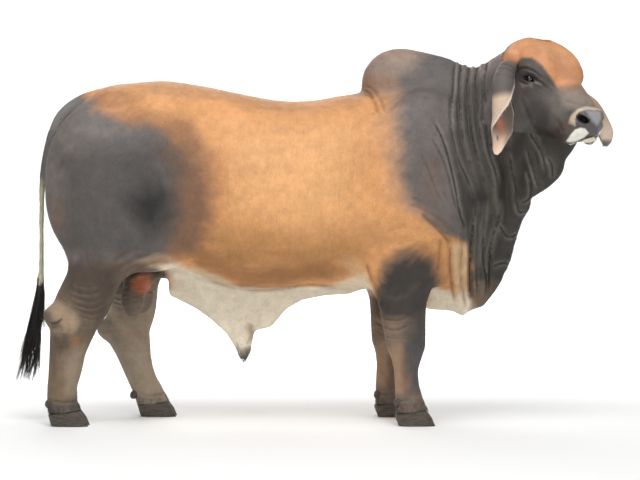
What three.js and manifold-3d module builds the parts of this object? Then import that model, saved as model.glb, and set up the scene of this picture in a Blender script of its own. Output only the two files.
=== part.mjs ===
// A red Brahman bull, standing, with its head turned to its right.
// Millimetres. X runs forward, Y to the animal's left, Z up. The soles stand at Z = 0.
// The flesh is one smooth solid, described by distances, then parted by thin saw cuts
// where a stockman would name a new part: hump, neck, dewlap, thigh, cannon and so on.
import * as THREE from "three";
import { mergeVertices } from "three/addons/utils/BufferGeometryUtils.js";
import loadManifold from "manifold-3d";

const wasm = await loadManifold();
wasm.setup();

// Driving sizes
const GAP = 0.3;                    // width of every saw cut between two parts
const EYE_RADIUS = 21;
const EYE_AT = [98, 121, 28];      // in the head's own frame; the other eye is mirrored
const HEAD_AT = new THREE.Vector3(1025, -96, 1536);
const HEAD_YAW = THREE.MathUtils.degToRad(-49);
const HEAD_PITCH = THREE.MathUtils.degToRad(30);
const CLAW_GAP = 6;
const BODY_CELL = 19;               // grid that the trunk's surface is read on
const LEG_CELL = 12;
const HEAD_CELL = 9;

// Coat and horn colours, as the animal shows them
const COLOUR = {
  tan: "#b9824f",
  rump: "#5a524c",
  hump: "#7c6049",
  neck: "#5c5048",
  dewlap: "#6f5b4a",
  face: "#5f554d",
  ear: "#a08a72",
  eye: "#120d0b",
  tailDark: "#4a443e",
  tailPale: "#c9bda2",
  switch: "#1d1b1a",
  sheath: "#d6c6a8",
  scrotum: "#8d6a55",
  foreleg: "#4b423b",
  hindleg: "#6b5b4e",
  hoof: "#3a3530",
};

// Small mathematics
const { clamp, lerp, smoothstep, degToRad } = THREE.MathUtils;

// The lesser of two distances, rounded over `reach` where they are alike.
function smoothJoin(a, b, reach) {
  const near = Math.max(reach - Math.abs(a - b), 0) / reach;
  return Math.min(a, b) - near * near * reach * 0.25;
}

// Solid a less solid b, with a rounded edge.
const smoothCarve = (a, b, reach) => -smoothJoin(-a, b, reach);

// Smooth values between the rows of a table. A row is a place and then what is read off there.
function track(rows) {
  const steps = 300;
  const wide = rows[0].length - 1;
  const first = rows[0][0];
  const last = rows.at(-1)[0];
  const ruled = new Float64Array((steps + 1) * wide);
  const slope = (i, k) => {
    const a = rows[Math.max(i - 1, 0)];
    const b = rows[Math.min(i + 1, rows.length - 1)];
    return (b[k] - a[k]) / (b[0] - a[0]);
  };
  for (let n = 0, i = 0; n <= steps; n++) {
    const place = lerp(first, last, n / steps);
    const sign = Math.sign(last - first);
    while (i < rows.length - 2 && (place - rows[i + 1][0]) * sign > 0) i++;
    const span = rows[i + 1][0] - rows[i][0];
    const t = (place - rows[i][0]) / span;
    for (let k = 1; k <= wide; k++) {
      const h00 = (1 + 2 * t) * (1 - t) * (1 - t);
      const h10 = t * (1 - t) * (1 - t);
      const h01 = t * t * (3 - 2 * t);
      const h11 = t * t * (t - 1);
      ruled[n * wide + k - 1] = h00 * rows[i][k] + h01 * rows[i + 1][k]
        + span * (h10 * slope(i, k) + h11 * slope(i + 1, k));
    }
  }
  return (place, out) => {
    const t = clamp((place - first) / (last - first), 0, 1) * steps;
    const i = Math.min(Math.floor(t), steps - 1);
    const f = t - i;
    for (let k = 0; k < wide; k++) out[k] = ruled[i * wide + k] * (1 - f) + ruled[(i + 1) * wide + k] * f;
  };
}

// Shapes, each a function that is negative inside the solid

// An egg, leaning in the side view by `lean` radians.
function egg([cx, cy, cz], [rx, ry, rz], lean = 0) {
  const cos = Math.cos(lean);
  const sin = Math.sin(lean);
  return (x, y, z) => {
    const dx = x - cx;
    const dz = z - cz;
    const a = (dx * cos - dz * sin) / rx;
    const b = (y - cy) / ry;
    const c = (dx * sin + dz * cos) / rz;
    const far = Math.sqrt(a * a + b * b + c * c);
    const steep = Math.sqrt((a / rx) ** 2 + (b / ry) ** 2 + (c / rz) ** 2);
    return steep > 0 ? far * (far - 1) / steep : -Math.min(rx, ry, rz);
  };
}

// A barrel along X. Rows: x, top, bottom, half width, height of the widest place, middle y.
function barrel(rows, square = 2.25) {
  const at = track(rows);
  const s = [0, 0, 0, 0, 0];
  const front = rows.at(-1)[0];
  const back = rows[0][0];
  return (x, y, z) => {
    at(x, s);
    const high = z > s[3] ? s[0] - s[3] : s[3] - s[1];
    const v = Math.abs(z - s[3]) / high;
    const w = Math.abs(y - s[4]) / s[2];
    const round = Math.pow(Math.pow(v, square) + Math.pow(w, square), 1 / square);
    return Math.max((round - 1) * Math.min(high, s[2]), x - front, back - x);
  };
}

// A limb along Z. Rows: z, x, y, half depth (fore and aft), half width.
function limb(rows) {
  const at = track(rows);
  const s = [0, 0, 0, 0];
  const top = rows[0][0];
  const bottom = rows.at(-1)[0];
  return (x, y, z) => {
    at(z, s);
    const a = (x - s[0]) / s[2];
    const b = (y - s[1]) / s[3];
    return Math.max((Math.sqrt(a * a + b * b) - 1) * Math.min(s[2], s[3]), z - top, bottom - z);
  };
}

// Distance from (x, z) to a run of side-view points.
function distanceToRun(points, x, z) {
  let best = Infinity;
  for (let i = 1; i < points.length; i++) {
    const [ax, az] = points[i - 1];
    const ex = points[i][0] - ax;
    const ez = points[i][1] - az;
    const t = clamp(((x - ax) * ex + (z - az) * ez) / (ex * ex + ez * ez), 0, 1);
    const dx = x - ax - ex * t;
    const dz = z - az - ez * t;
    best = Math.min(best, dx * dx + dz * dz);
  }
  return Math.sqrt(best);
}

// A hanging fold of skin: a side-view outline, given a half thickness about a middle surface.
function curtain(outline, half, middle) {
  const closed = [...outline, outline[0]];
  const inside = (x, z) => {
    let odd = false;
    for (let i = 1; i < closed.length; i++) {
      const [ax, az] = closed[i - 1];
      const [bx, bz] = closed[i];
      if ((az > z) !== (bz > z) && x < ax + (bx - ax) * (z - az) / (bz - az)) odd = !odd;
    }
    return odd;
  };
  return (x, y, z) => {
    const thick = half(x, z);
    const edge = distanceToRun(closed, x, z) * (inside(x, z) ? -1 : 1);
    const out = Math.max(0, edge + thick);
    const side = y - middle(x, z);
    return Math.sqrt(out * out + side * side) - thick;
  };
}

// The head's own frame: u towards the nose, v to the head's left, w up
const headTurn = new THREE.Matrix4().makeRotationFromEuler(new THREE.Euler(0, HEAD_PITCH, HEAD_YAW, "ZYX"));
const headPlace = new THREE.Matrix4().makeTranslation(HEAD_AT).multiply(headTurn);
const headBack = headPlace.clone().invert().elements;
const fromHead = (u, v, w) => new THREE.Vector3(u, v, w).applyMatrix4(headPlace);

// The masses of the body

const trunk = barrel([
  [-1022, 1300, 1200, 60, 1250, 0],
  [-990, 1385, 1090, 130, 1250, 0],
  [-943, 1432, 1000, 180, 1240, 0],
  [-846, 1488, 860, 245, 1220, 0],
  [-757, 1500, 770, 285, 1200, 0],
  [-668, 1509, 705, 310, 1160, 0],
  [-600, 1511, 678, 325, 1120, 0],
  [-512, 1502, 650, 340, 1080, 0],
  [-400, 1482, 612, 355, 1040, 0],
  [-267, 1455, 588, 370, 1015, 0],
  [-100, 1424, 594, 380, 1000, 0],
  [45, 1422, 590, 385, 1000, 0],
  [200, 1448, 588, 372, 1005, 0],
  [350, 1460, 590, 345, 1010, 0],
  [500, 1450, 588, 320, 1020, 0],
  [620, 1430, 590, 300, 1010, 0],
  [720, 1390, 620, 265, 1010, 0],
  [800, 1330, 690, 215, 1020, 0],
  [870, 1240, 790, 150, 1030, 0],
  [905, 1150, 900, 70, 1030, 0],
]);

const neck = barrel([
  [500, 1440, 820, 240, 1100, 0],
  [620, 1505, 860, 255, 1130, 0],
  [725, 1545, 930, 235, 1180, -8],
  [779, 1568, 980, 216, 1210, -16],
  [846, 1604, 1050, 192, 1260, -32],
  [900, 1640, 1110, 172, 1310, -50],
  [950, 1668, 1180, 155, 1360, -68],
  [1000, 1684, 1250, 138, 1410, -88],
  [1050, 1656, 1320, 105, 1460, -104],
  [1085, 1590, 1400, 60, 1490, -112],
], 2.1);

const humpRear = egg([440, 0, 1498], [168, 112, 160]);
const humpFront = egg([585, 0, 1482], [190, 108, 146], 0.14);

// The thigh and what hangs from it. Both hind legs share the thigh; the stance below differs.
const thighRows = (side) => [
  [1440, -815, side * 110, 60, 50],
  [1380, -835, side * 140, 150, 105],
  [1317, -845, side * 155, 200, 130],
  [1184, -852, side * 172, 252, 150],
  [1028, -842, side * 180, 270, 152],
  [939, -838, side * 185, 268, 146],
];
const hindNear = limb([
  ...thighRows(-1),
  [850, -842, -192, 236, 136],
  [760, -850, -202, 176, 122],
  [696, -858, -208, 150, 108],
  [625, -904, -213, 128, 90],
  [554, -938, -215, 128, 76],
  [482, -968, -215, 128, 66],
  [436, -981, -215, 109, 60],
  [375, -997, -215, 93, 51],
  [314, -1012, -215, 81, 46],
  [240, -1022, -215, 74, 45],
  [171, -1035, -215, 66, 49],
  [111, -1036, -215, 66, 56],
  [60, -1022, -215, 74, 62],
  [20, -1010, -215, 78, 64],
]);
const hindFar = limb([
  ...thighRows(1),
  [850, -828, 192, 234, 136],
  [760, -815, 202, 184, 122],
  [696, -795, 208, 155, 106],
  [600, -768, 213, 122, 88],
  [500, -765, 215, 110, 74],
  [435, -778, 215, 110, 66],
  [383, -797, 215, 112, 62],
  [320, -772, 215, 92, 54],
  [279, -761, 215, 81, 48],
  [205, -737, 215, 70, 45],
  [128, -701, 215, 72, 52],
  [70, -672, 215, 74, 60],
  [20, -655, 215, 80, 64],
]);
// The point of the hock stands out behind each hind leg.
const hockNear = egg([-1078, -215, 478], [36, 26, 40], -0.5);
const hockFar = egg([-890, 215, 395], [34, 26, 38], -0.6);

const foreNear = limb([
  [860, 470, -215, 170, 90],
  [780, 450, -212, 160, 98],
  [700, 437, -208, 141, 98],
  [600, 446, -203, 126, 86],
  [526, 449, -200, 105, 75],
  [441, 456, -200, 95, 65],
  [341, 464, -200, 85, 64],
  [291, 467, -200, 66, 53],
  [241, 465, -200, 54, 43],
  [190, 468, -200, 53, 43],
  [140, 474, -200, 58, 50],
  [100, 482, -200, 63, 57],
  [60, 492, -200, 72, 62],
  [20, 500, -200, 78, 64],
]);
const foreFar = limb([
  [860, 450, 215, 170, 90],
  [780, 435, 212, 160, 98],
  [700, 422, 208, 141, 98],
  [600, 414, 203, 116, 86],
  [526, 411, 200, 98, 75],
  [441, 408, 200, 89, 65],
  [349, 406, 200, 83, 63],
  [293, 402, 200, 63, 52],
  [241, 398, 200, 52, 43],
  [184, 394, 200, 51, 43],
  [140, 396, 200, 55, 50],
  [100, 402, 200, 61, 57],
  [60, 412, 200, 71, 62],
  [20, 420, 200, 77, 64],
]);

// Dewlap: front edge read down from the chin, then back along the chest.
const DEWLAP = [
  [1235, 1290], [1211, 1222], [1190, 1188], [1162, 1157], [1158, 1110], [1139, 1080], [1091, 1032],
  [1052, 1006], [1021, 993], [1022, 940], [998, 914],
  [969, 821], [934, 694], [890, 606], [850, 548], [819, 509], [762, 491], [723, 462], [679, 487],
  [564, 496], [440, 570], [520, 720], [700, 950], [860, 1150], [1000, 1320], [1110, 1350],
];
const dewlapBend = (x, z) => -165 * smoothstep(x, 820, 1170) * smoothstep(z, 640, 1120);
const dewlap = curtain(DEWLAP, (x, z) => lerp(30, 44, smoothstep(z, 500, 1000)), dewlapBend);

// Sheath: the hanging fold under the belly and the tube at its tip.
const SHEATH = [
  [240, 600], [217, 574], [121, 566], [11, 538], [-63, 495], [-129, 414], [-199, 400], [-214, 372],
  [-321, 372], [-388, 444], [-469, 503], [-558, 547], [-631, 582], [-672, 640], [-500, 690], [0, 660],
];
const sheathFold = curtain(SHEATH, (x, z) => lerp(26, 46, smoothstep(z, 380, 600)), () => 0);
const sheathTip = egg([-262, 0, 352], [62, 40, 84], -0.42);

const testisRight = egg([-742, -46, 544], [55, 50, 80]);
const testisLeft = egg([-712, 52, 548], [56, 50, 76]);
const scrotumNeck = egg([-728, 0, 650], [62, 66, 90]);

// Tail: a smooth path from the rump down to the switch.
const TAIL_PATH = new THREE.CatmullRomCurve3([
  [-850, 0, 1450], [-940, 0, 1430], [-991, 0, 1405], [-1035, -2, 1374], [-1067, -4, 1333],
  [-1096, -6, 1256], [-1118, -8, 1173], [-1140, -8, 1090], [-1147, -6, 1010], [-1149, -4, 900],
  [-1150, -2, 790], [-1151, 0, 690], [-1157, 0, 590],
].map((p) => new THREE.Vector3(...p)), false, "centripetal");
const TAIL_RADIUS = [40, 38, 37, 36, 35, 33, 29, 20, 14, 13, 13, 14, 17];
const tailRadius = (t) => {
  const i = clamp(t, 0, 1) * (TAIL_RADIUS.length - 1);
  const low = Math.min(Math.floor(i), TAIL_RADIUS.length - 2);
  return lerp(TAIL_RADIUS[low], TAIL_RADIUS[low + 1], i - low);
};
// The cleft between the buttocks, a finger wider than the tail that lies in it.
const CLEFT_FROM = 0.19;
const CLEFT_STEP = 0.035;
const tailDots = Array.from({ length: 15 }, (_, i) => {
  const t = CLEFT_FROM + i * CLEFT_STEP;
  return { at: TAIL_PATH.getPoint(t), t };
});
function cleft(x, y, z) {
  let best = Infinity;
  for (let i = 1; i < tailDots.length; i++) {
    const a = tailDots[i - 1].at;
    const b = tailDots[i].at;
    const ex = b.x - a.x;
    const ey = b.y - a.y;
    const ez = b.z - a.z;
    const along = (x - a.x) * ex + (y - a.y) * ey + (z - a.z) * ez;
    const t = clamp(along / (ex * ex + ey * ey + ez * ez), 0, 1);
    const far = Math.hypot(x - a.x - ex * t, y - a.y - ey * t, z - a.z - ez * t);
    best = Math.min(best, far - tailRadius(lerp(tailDots[i - 1].t, tailDots[i].t, t)) - 11);
  }
  return best;
}

// Folds in the skin of neck, shoulder and dewlap: side-view runs, with depth and half width.
const FOLDS = [
  { run: [[272, 1470], [305, 1452], [331, 1409], [344, 1368]], deep: 9, wide: 16 },
  { run: [[690, 1540], [672, 1470], [675, 1397]], deep: 7, wide: 15 },
  { run: [[697, 1380], [705, 1297], [727, 1215], [740, 1158]], deep: 7, wide: 15 },
  { run: [[727, 1536], [740, 1380], [749, 1280], [762, 1163]], deep: 8, wide: 15 },
  { run: [[783, 1544], [796, 1367], [814, 1236], [840, 1102], [848, 1028]], deep: 9, wide: 16 },
  { run: [[827, 1531], [831, 1414], [857, 1288], [890, 1160]], deep: 8, wide: 16 },
  { run: [[660, 1071], [688, 967], [710, 863], [705, 802]], deep: 9, wide: 17 },
  { run: [[788, 1050], [770, 906], [744, 780], [740, 560]], deep: 15, wide: 18 },
  { run: [[844, 1050], [859, 945], [822, 780], [815, 600]], deep: 12, wide: 17 },
  { run: [[901, 1040], [922, 919], [901, 767], [880, 640]], deep: 10, wide: 16 },
  { run: [[957, 1060], [974, 941], [940, 790]], deep: 8, wide: 15 },
  { run: [[1060, 1230], [1010, 1130], [960, 1060]], deep: 8, wide: 15 },
  { run: [[1120, 1200], [1060, 1080], [1020, 1030]], deep: 7, wide: 14 },
  { run: [[523, 919], [584, 872], [627, 837], [657, 789]], deep: 8, wide: 18 },
];
for (const fold of FOLDS) {
  const xs = fold.run.map((p) => p[0]);
  const zs = fold.run.map((p) => p[1]);
  const edge = fold.wide * 2.4;
  fold.box = [Math.min(...xs) - edge, Math.max(...xs) + edge, Math.min(...zs) - edge, Math.max(...zs) + edge];
}
function foldDepth(x, y, z) {
  if (x < 200) return 0;
  const middle = x > 820 ? dewlapBend(x, z) : 0;
  const side = y < middle ? 1 : 0.7;
  let sum = 0;
  for (const { run, deep, wide, box } of FOLDS) {
    if (x < box[0] || x > box[1] || z < box[2] || z > box[3]) continue;
    const far = distanceToRun(run, x, z) / wide;
    sum += deep * side * Math.exp(-far * far);
  }
  return sum;
}

// The masses in the order they are joined, each with its rounding and the box it acts in.
const mass = (field, reach, low, high) => ({ field, reach, low, high });
const bothSides = (make, reach, low, high) => [
  mass(make(-1), reach, [low[0], -high[1], low[2]], [high[0], -low[1], high[2]]),
  mass(make(1), reach, low, high),
];
const BODY = [
  mass(trunk, 1, [-1022, -385, 588], [905, 385, 1512]),
  mass(neck, 90, [500, -260, 820], [1085, 255, 1686]),
  mass(humpRear, 45, [272, -112, 1338], [608, 112, 1658]),
  mass(humpFront, 60, [390, -110, 1320], [785, 110, 1645]),
  mass(hindNear, 70, [-1112, -335, 20], [-560, 0, 1440]),
  mass(hindFar, 70, [-1112, 0, 20], [-560, 335, 1440]),
  mass(hockNear, 30, [-1125, -245, 430], [-1030, -185, 525]),
  mass(hockFar, 30, [-940, 185, 345], [-845, 245, 445]),
  // hook bones and the muscle of the loin
  ...bothSides((s) => egg([-590, s * 250, 1330], [110, 70, 80]), 90, [-700, 180, 1250], [-480, 320, 1410]),
  // shoulder blade, upper arm and elbow
  ...bothSides(
    (s) => egg([500, s * 225, 1120], [190, 125, 330], 0.18),
    110, [270, 90, 780], [740, 350, 1460],
  ),
  ...bothSides(
    (s) => egg([575, s * 238, 900], [150, 118, 190], 0.3),
    90, [400, 110, 700], [750, 360, 1110],
  ),
  ...bothSides(
    (s) => egg([380, s * 232, 830], [150, 105, 190], -0.15),
    90, [200, 120, 620], [550, 345, 1040],
  ),
  mass(foreNear, 70, [280, -315, 20], [645, -110, 860]),
  mass(foreFar, 70, [275, 110, 20], [620, 315, 860]),
  // fold of flank before the stifle
  ...bothSides(
    (s) => egg([-600, s * 235, 835], [130, 62, 172], 0.5),
    90, [-760, 160, 650], [-440, 310, 1030],
  ),
  mass(sheathFold, 60, [-675, -50, 370], [245, 50, 700]),
  mass(sheathTip, 30, [-345, -42, 262], [-180, 42, 450]),
  mass(testisRight, 20, [-800, -100, 460], [-685, 8, 628]),
  mass(testisLeft, 22, [-770, 0, 470], [-655, 105, 628]),
  mass(scrotumNeck, 40, [-792, -70, 560], [-665, 70, 742]),
  mass(dewlap, 70, [440, -215, 460], [1240, 50, 1355]),
];

// The masses of the head, in the head's frame
const skull = barrel([
  [-95, 84, -60, 64, 10, 0],
  [-60, 126, -160, 108, 0, 0],
  [-10, 147, -196, 120, 0, 0],
  [56, 149, -206, 124, 0, 0],
  [108, 134, -201, 119, -5, 0],
  [150, 117, -194, 111, -10, 0],
  [210, 96, -180, 96, -25, 0],
  [280, 77, -164, 84, -35, 0],
  [340, 58, -150, 77, -45, 0],
  [380, 36, -128, 72, -50, 0],
  [412, 6, -108, 62, -53, 0],
  [434, -26, -92, 42, -58, 0],
  [446, -50, -76, 16, -62, 0],
], 2.4);
const HEAD = [
  mass(skull, 1, [-95, -124, -206], [446, 124, 150]),
  // broad forehead: a knob each side of the poll, then the temples and the brows
  ...bothSides((s) => egg([16, s * 60, 103], [86, 58, 50]), 52, [-70, 2, 53], [102, 118, 153]),
  ...bothSides((s) => egg([-40, s * 86, 64], [62, 52, 56]), 44, [-102, 34, 8], [22, 138, 120]),
  ...bothSides((s) => egg([90, s * 88, 78], [98, 50, 58]), 54, [-8, 38, 20], [188, 138, 136]),
  // eye rim and cheek
  ...bothSides((s) => egg([98, s * 118, 26], [36, 30, 31]), 14, [62, 88, -5], [134, 148, 57]),
  ...bothSides((s) => egg([70, s * 92, -84], [112, 32, 92]), 44, [-42, 60, -176], [182, 124, 8]),
  // ear stalk
  ...bothSides((s) => egg([-34, s * 140, 62], [36, 50, 36]), 26, [-70, 90, 26], [2, 190, 98]),
  // muzzle, wings of the nose, hanging sides of the upper lip, lower lip
  mass(egg([386, 0, -34], [58, 74, 66], 0.5), 34, [315, -74, -110], [458, 74, 42]),
  ...bothSides((s) => egg([388, s * 54, -2], [42, 26, 32], 0.5), 20, [342, 28, -44], [434, 80, 40]),
  ...bothSides((s) => egg([372, s * 62, -92], [52, 26, 40], 0.7), 26, [320, 36, -140], [425, 88, -45]),
  mass(egg([404, 0, -85], [46, 46, 22], -0.15), 14, [356, -46, -112], [452, 46, -58]),
];
const HEAD_LOW = HEAD_AT.clone().addScalar(-620);
const HEAD_HIGH = HEAD_AT.clone().addScalar(620);

function joined(masses, x, y, z, start) {
  let d = start;
  for (const { field, reach, low, high } of masses) {
    const away = Math.max(low[0] - x, x - high[0], low[1] - y, y - high[1], low[2] - z, z - high[2]);
    if (away > d + reach || away > 250) continue;
    d = smoothJoin(d, field(x, y, z), reach);
  }
  return d;
}

function flesh(x, y, z) {
  let d = joined(BODY, x, y, z, 400);
  if (x < -880 && Math.abs(y) < 200) d = smoothCarve(d, cleft(x, y, z), 24);
  d += foldDepth(x, y, z);
  const besideHead = x > HEAD_LOW.x && x < HEAD_HIGH.x && z > HEAD_LOW.z && z < HEAD_HIGH.z;
  if (besideHead && y > HEAD_LOW.y && y < HEAD_HIGH.y) {
    const e = headBack;
    const u = e[0] * x + e[4] * y + e[8] * z + e[12];
    const v = e[1] * x + e[5] * y + e[9] * z + e[13];
    const w = e[2] * x + e[6] * y + e[10] * z + e[14];
    d = smoothJoin(d, joined(HEAD, u, v, w, 400), 36);
  }
  return d;
}

// From distances to a surface

// The zero surface inside a box, read on a grid of cells that are each split in six tetrahedra.
function readSurface(field, low, high, cell) {
  const n = low.map((v, i) => Math.ceil((high[i] - v) / cell) + 1);
  const value = new Float64Array(n[0] * n[1] * n[2]);
  const stride = [1, n[0], n[0] * n[1]];
  for (let k = 0, at = 0; k < n[2]; k++) {
    for (let j = 0; j < n[1]; j++) {
      for (let i = 0; i < n[0]; i++, at++) {
        const rim = i === 0 || j === 0 || k === 0 || i === n[0] - 1 || j === n[1] - 1 || k === n[2] - 1;
        const d = field(low[0] + i * cell, low[1] + j * cell, low[2] + k * cell);
        value[at] = rim ? Math.max(d, cell / 2) : (Math.abs(d) < 1e-3 ? 1e-3 : d);
      }
    }
  }
  const ways = [[0, 1, 2], [1, 2, 0], [2, 0, 1], [0, 2, 1], [2, 1, 0], [1, 0, 2]];
  const loneOrder = [[0, 1, 2, 3], [1, 0, 3, 2], [2, 3, 0, 1], [3, 2, 1, 0]];
  const pairOrder = {
    3: [0, 1, 2, 3],
    5: [0, 2, 3, 1],
    9: [0, 3, 1, 2],
    6: [1, 2, 0, 3],
    10: [1, 3, 2, 0],
    12: [2, 3, 0, 1],
  };
  const points = [];
  const faces = [];
  const known = new Map();
  const spot = (a, b) => {
    const lowEnd = Math.min(a, b);
    const key = lowEnd * 8 + cornerWay.get(Math.abs(a - b));
    let id = known.get(key);
    if (id === undefined) {
      const t = value[a] / (value[a] - value[b]);
      id = points.length / 3;
      for (let m = 0; m < 3; m++) {
        const ia = Math.floor(a / stride[m]) % n[m];
        const ib = Math.floor(b / stride[m]) % n[m];
        points.push(low[m] + (ia + (ib - ia) * t) * cell);
      }
      known.set(key, id);
    }
    return id;
  };
  const cornerWay = new Map();
  for (let c = 1; c < 8; c++) {
    cornerWay.set((c & 1) * stride[0] + (c >> 1 & 1) * stride[1] + (c >> 2) * stride[2], c);
  }
  for (let k = 0; k < n[2] - 1; k++) {
    for (let j = 0; j < n[1] - 1; j++) {
      for (let i = 0; i < n[0] - 1; i++) {
        const at = i + j * stride[1] + k * stride[2];
        const first = value[at] < 0;
        let mixed = false;
        for (const step of cornerWay.keys()) if ((value[at + step] < 0) !== first) mixed = true;
        if (!mixed) continue;
        ways.forEach(([a, b, c], w) => {
          const c1 = at + stride[a];
          const c2 = c1 + stride[b];
          const tet = [at, c1, c2, c2 + stride[c]];
          const face = (p, q, r) => faces.push(...(w < 3 ? [p, q, r] : [p, r, q]));
          const code = tet.reduce((sum, corner, bit) => sum + (value[corner] < 0 ? 1 << bit : 0), 0);
          const count = (code & 1) + (code >> 1 & 1) + (code >> 2 & 1) + (code >> 3);
          if (count === 1 || count === 3) {
            const lone = Math.log2(count === 1 ? code : 15 - code);
            const [p, q, r, s] = loneOrder[lone].map((m) => tet[m]);
            if (count === 1) face(spot(p, q), spot(p, r), spot(p, s));
            else face(spot(p, q), spot(p, s), spot(p, r));
          } else if (count === 2) {
            const [p, q, r, s] = pairOrder[code].map((m) => tet[m]);
            face(spot(p, r), spot(p, s), spot(q, s));
            face(spot(p, r), spot(q, s), spot(q, r));
          }
        });
      }
    }
  }
  return { points: Float64Array.from(points), faces: Int32Array.from(faces) };
}

// Two Newton steps carry each point of a surface onto the true shape.
function settle({ points, faces }, field, low, high, cell) {
  const step = 0.5;
  for (let p = 0; p < points.length; p += 3) {
    const edge = cell * 1.01;
    const rim = [0, 1, 2].some((m) => points[p + m] < low[m] + edge || points[p + m] > high[m] - edge);
    if (rim) continue;
    for (let pass = 0; pass < 2; pass++) {
      const [x, y, z] = points.subarray(p, p + 3);
      const d = field(x, y, z);
      const gx = (field(x + step, y, z) - d) / step;
      const gy = (field(x, y + step, z) - d) / step;
      const gz = (field(x, y, z + step) - d) / step;
      const steep = gx * gx + gy * gy + gz * gz;
      if (steep < 0.05) break;
      const go = clamp(d / steep, -cell / 3, cell / 3);
      points[p] -= gx * go;
      points[p + 1] -= gy * go;
      points[p + 2] -= gz * go;
    }
  }
  return { points, faces };
}

// Collapses edges, cheapest change of shape first, until `target` triangles are left.
function thin({ points, faces }, target) {
  const count = points.length / 3;
  const quadric = new Float64Array(count * 10);
  const around = Array.from({ length: count }, () => new Set());
  const alive = new Uint8Array(faces.length / 3).fill(1);
  const stamp = new Int32Array(count);
  let left = alive.length;
  const a = new THREE.Vector3();
  const b = new THREE.Vector3();
  const c = new THREE.Vector3();
  const normalOf = (i, j, k) => {
    a.fromArray(points, i * 3);
    b.fromArray(points, j * 3).sub(a);
    c.fromArray(points, k * 3).sub(a);
    return b.clone().cross(c);
  };
  for (let f = 0; f < left; f++) {
    const trio = faces.subarray(f * 3, f * 3 + 3);
    const n = normalOf(...trio);
    const area = n.length();
    if (area > 0) n.divideScalar(area);
    const w = -n.dot(a);
    const q = [
      n.x * n.x, n.x * n.y, n.x * n.z, n.x * w,
      n.y * n.y, n.y * n.z, n.y * w,
      n.z * n.z, n.z * w,
      w * w,
    ];
    for (const v of trio) {
      around[v].add(f);
      for (let m = 0; m < 10; m++) quadric[v * 10 + m] += q[m] * (area + 1);
    }
  }
  const cost = (q, x, y, z) => q[0] * x * x + 2 * q[1] * x * y + 2 * q[2] * x * z + 2 * q[3] * x + q[4] * y * y
    + 2 * q[5] * y * z + 2 * q[6] * y + q[7] * z * z + 2 * q[8] * z + q[9];
  const plan = (i, j) => {
    const q = new Float64Array(10);
    for (let m = 0; m < 10; m++) q[m] = quadric[i * 10 + m] + quadric[j * 10 + m];
    const mx = (points[i * 3] + points[j * 3]) / 2;
    const my = (points[i * 3 + 1] + points[j * 3 + 1]) / 2;
    const mz = (points[i * 3 + 2] + points[j * 3 + 2]) / 2;
    const long = Math.hypot(points[i * 3] - mx, points[i * 3 + 1] - my, points[i * 3 + 2] - mz) * 2;
    // a light pull to the edge's middle keeps the answer well placed on flat ground
    const pull = 1e-3 * (q[0] + q[4] + q[7]);
    const m = new THREE.Matrix3().set(
      q[0] + pull, q[1], q[2],
      q[1], q[4] + pull, q[5],
      q[2], q[5], q[7] + pull,
    );
    const rhs = new THREE.Vector3(pull * mx - q[3], pull * my - q[6], pull * mz - q[8]);
    const best = rhs.applyMatrix3(m.invert());
    if (!(best.distanceTo(a.set(mx, my, mz)) < long)) best.set(mx, my, mz);
    return { price: cost(q, best.x, best.y, best.z) + 1e-4 * long * long * (q[0] + q[4] + q[7]), best, q };
  };
  const heap = [];
  const push = (item) => {
    let i = heap.push(item) - 1;
    while (i > 0 && heap[(i - 1) >> 1].price > item.price) {
      heap[i] = heap[(i - 1) >> 1];
      i = (i - 1) >> 1;
    }
    heap[i] = item;
  };
  const pop = () => {
    const top = heap[0];
    const item = heap.pop();
    if (heap.length) {
      let i = 0;
      for (;;) {
        let next = 2 * i + 1;
        if (next >= heap.length) break;
        if (next + 1 < heap.length && heap[next + 1].price < heap[next].price) next++;
        if (heap[next].price >= item.price) break;
        heap[i] = heap[next];
        i = next;
      }
      heap[i] = item;
    }
    return top;
  };
  const offer = (i, j) => push({ i, j, si: stamp[i], sj: stamp[j], ...plan(i, j) });
  const neighbours = (v) => {
    const found = new Set();
    for (const f of around[v]) for (let m = 0; m < 3; m++) found.add(faces[f * 3 + m]);
    found.delete(v);
    return found;
  };
  for (let v = 0; v < count; v++) for (const o of neighbours(v)) if (v < o) offer(v, o);
  const turns = (v, other, best) => {
    for (const f of around[v]) {
      const trio = [faces[f * 3], faces[f * 3 + 1], faces[f * 3 + 2]];
      if (trio.includes(other)) continue;
      const before = normalOf(...trio);
      const kept = [points[v * 3], points[v * 3 + 1], points[v * 3 + 2]];
      best.toArray(points, v * 3);
      const after = normalOf(...trio);
      points.set(kept, v * 3);
      const size = after.length();
      if (size < 1e-6 || before.dot(after) < 0.3 * before.length() * size) return true;
    }
    return false;
  };
  while (left > target && heap.length) {
    const { i, j, si, sj, best, q } = pop();
    if (stamp[i] !== si || stamp[j] !== sj || si < 0 || sj < 0) continue;
    const shared = [...neighbours(i)].filter((o) => neighbours(j).has(o));
    if (shared.length !== 2 || turns(i, j, best) || turns(j, i, best)) continue;
    for (const f of [...around[j]]) {
      const holdsBoth = around[i].has(f);
      for (let m = 0; m < 3; m++) {
        const v = faces[f * 3 + m];
        if (holdsBoth) around[v].delete(f);
        else if (v === j) faces[f * 3 + m] = i;
      }
      if (holdsBoth) {
        alive[f] = 0;
        left--;
      } else around[i].add(f);
    }
    best.toArray(points, i * 3);
    quadric.set(q, i * 10);
    stamp[i]++;
    stamp[j] = -1;
    around[j].clear();
    for (const o of neighbours(i)) offer(i, o);
  }
  const kept = [];
  for (let f = 0; f < alive.length; f++) {
    if (alive[f]) kept.push(faces[f * 3], faces[f * 3 + 1], faces[f * 3 + 2]);
  }
  return { points, faces: kept };
}

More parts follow.
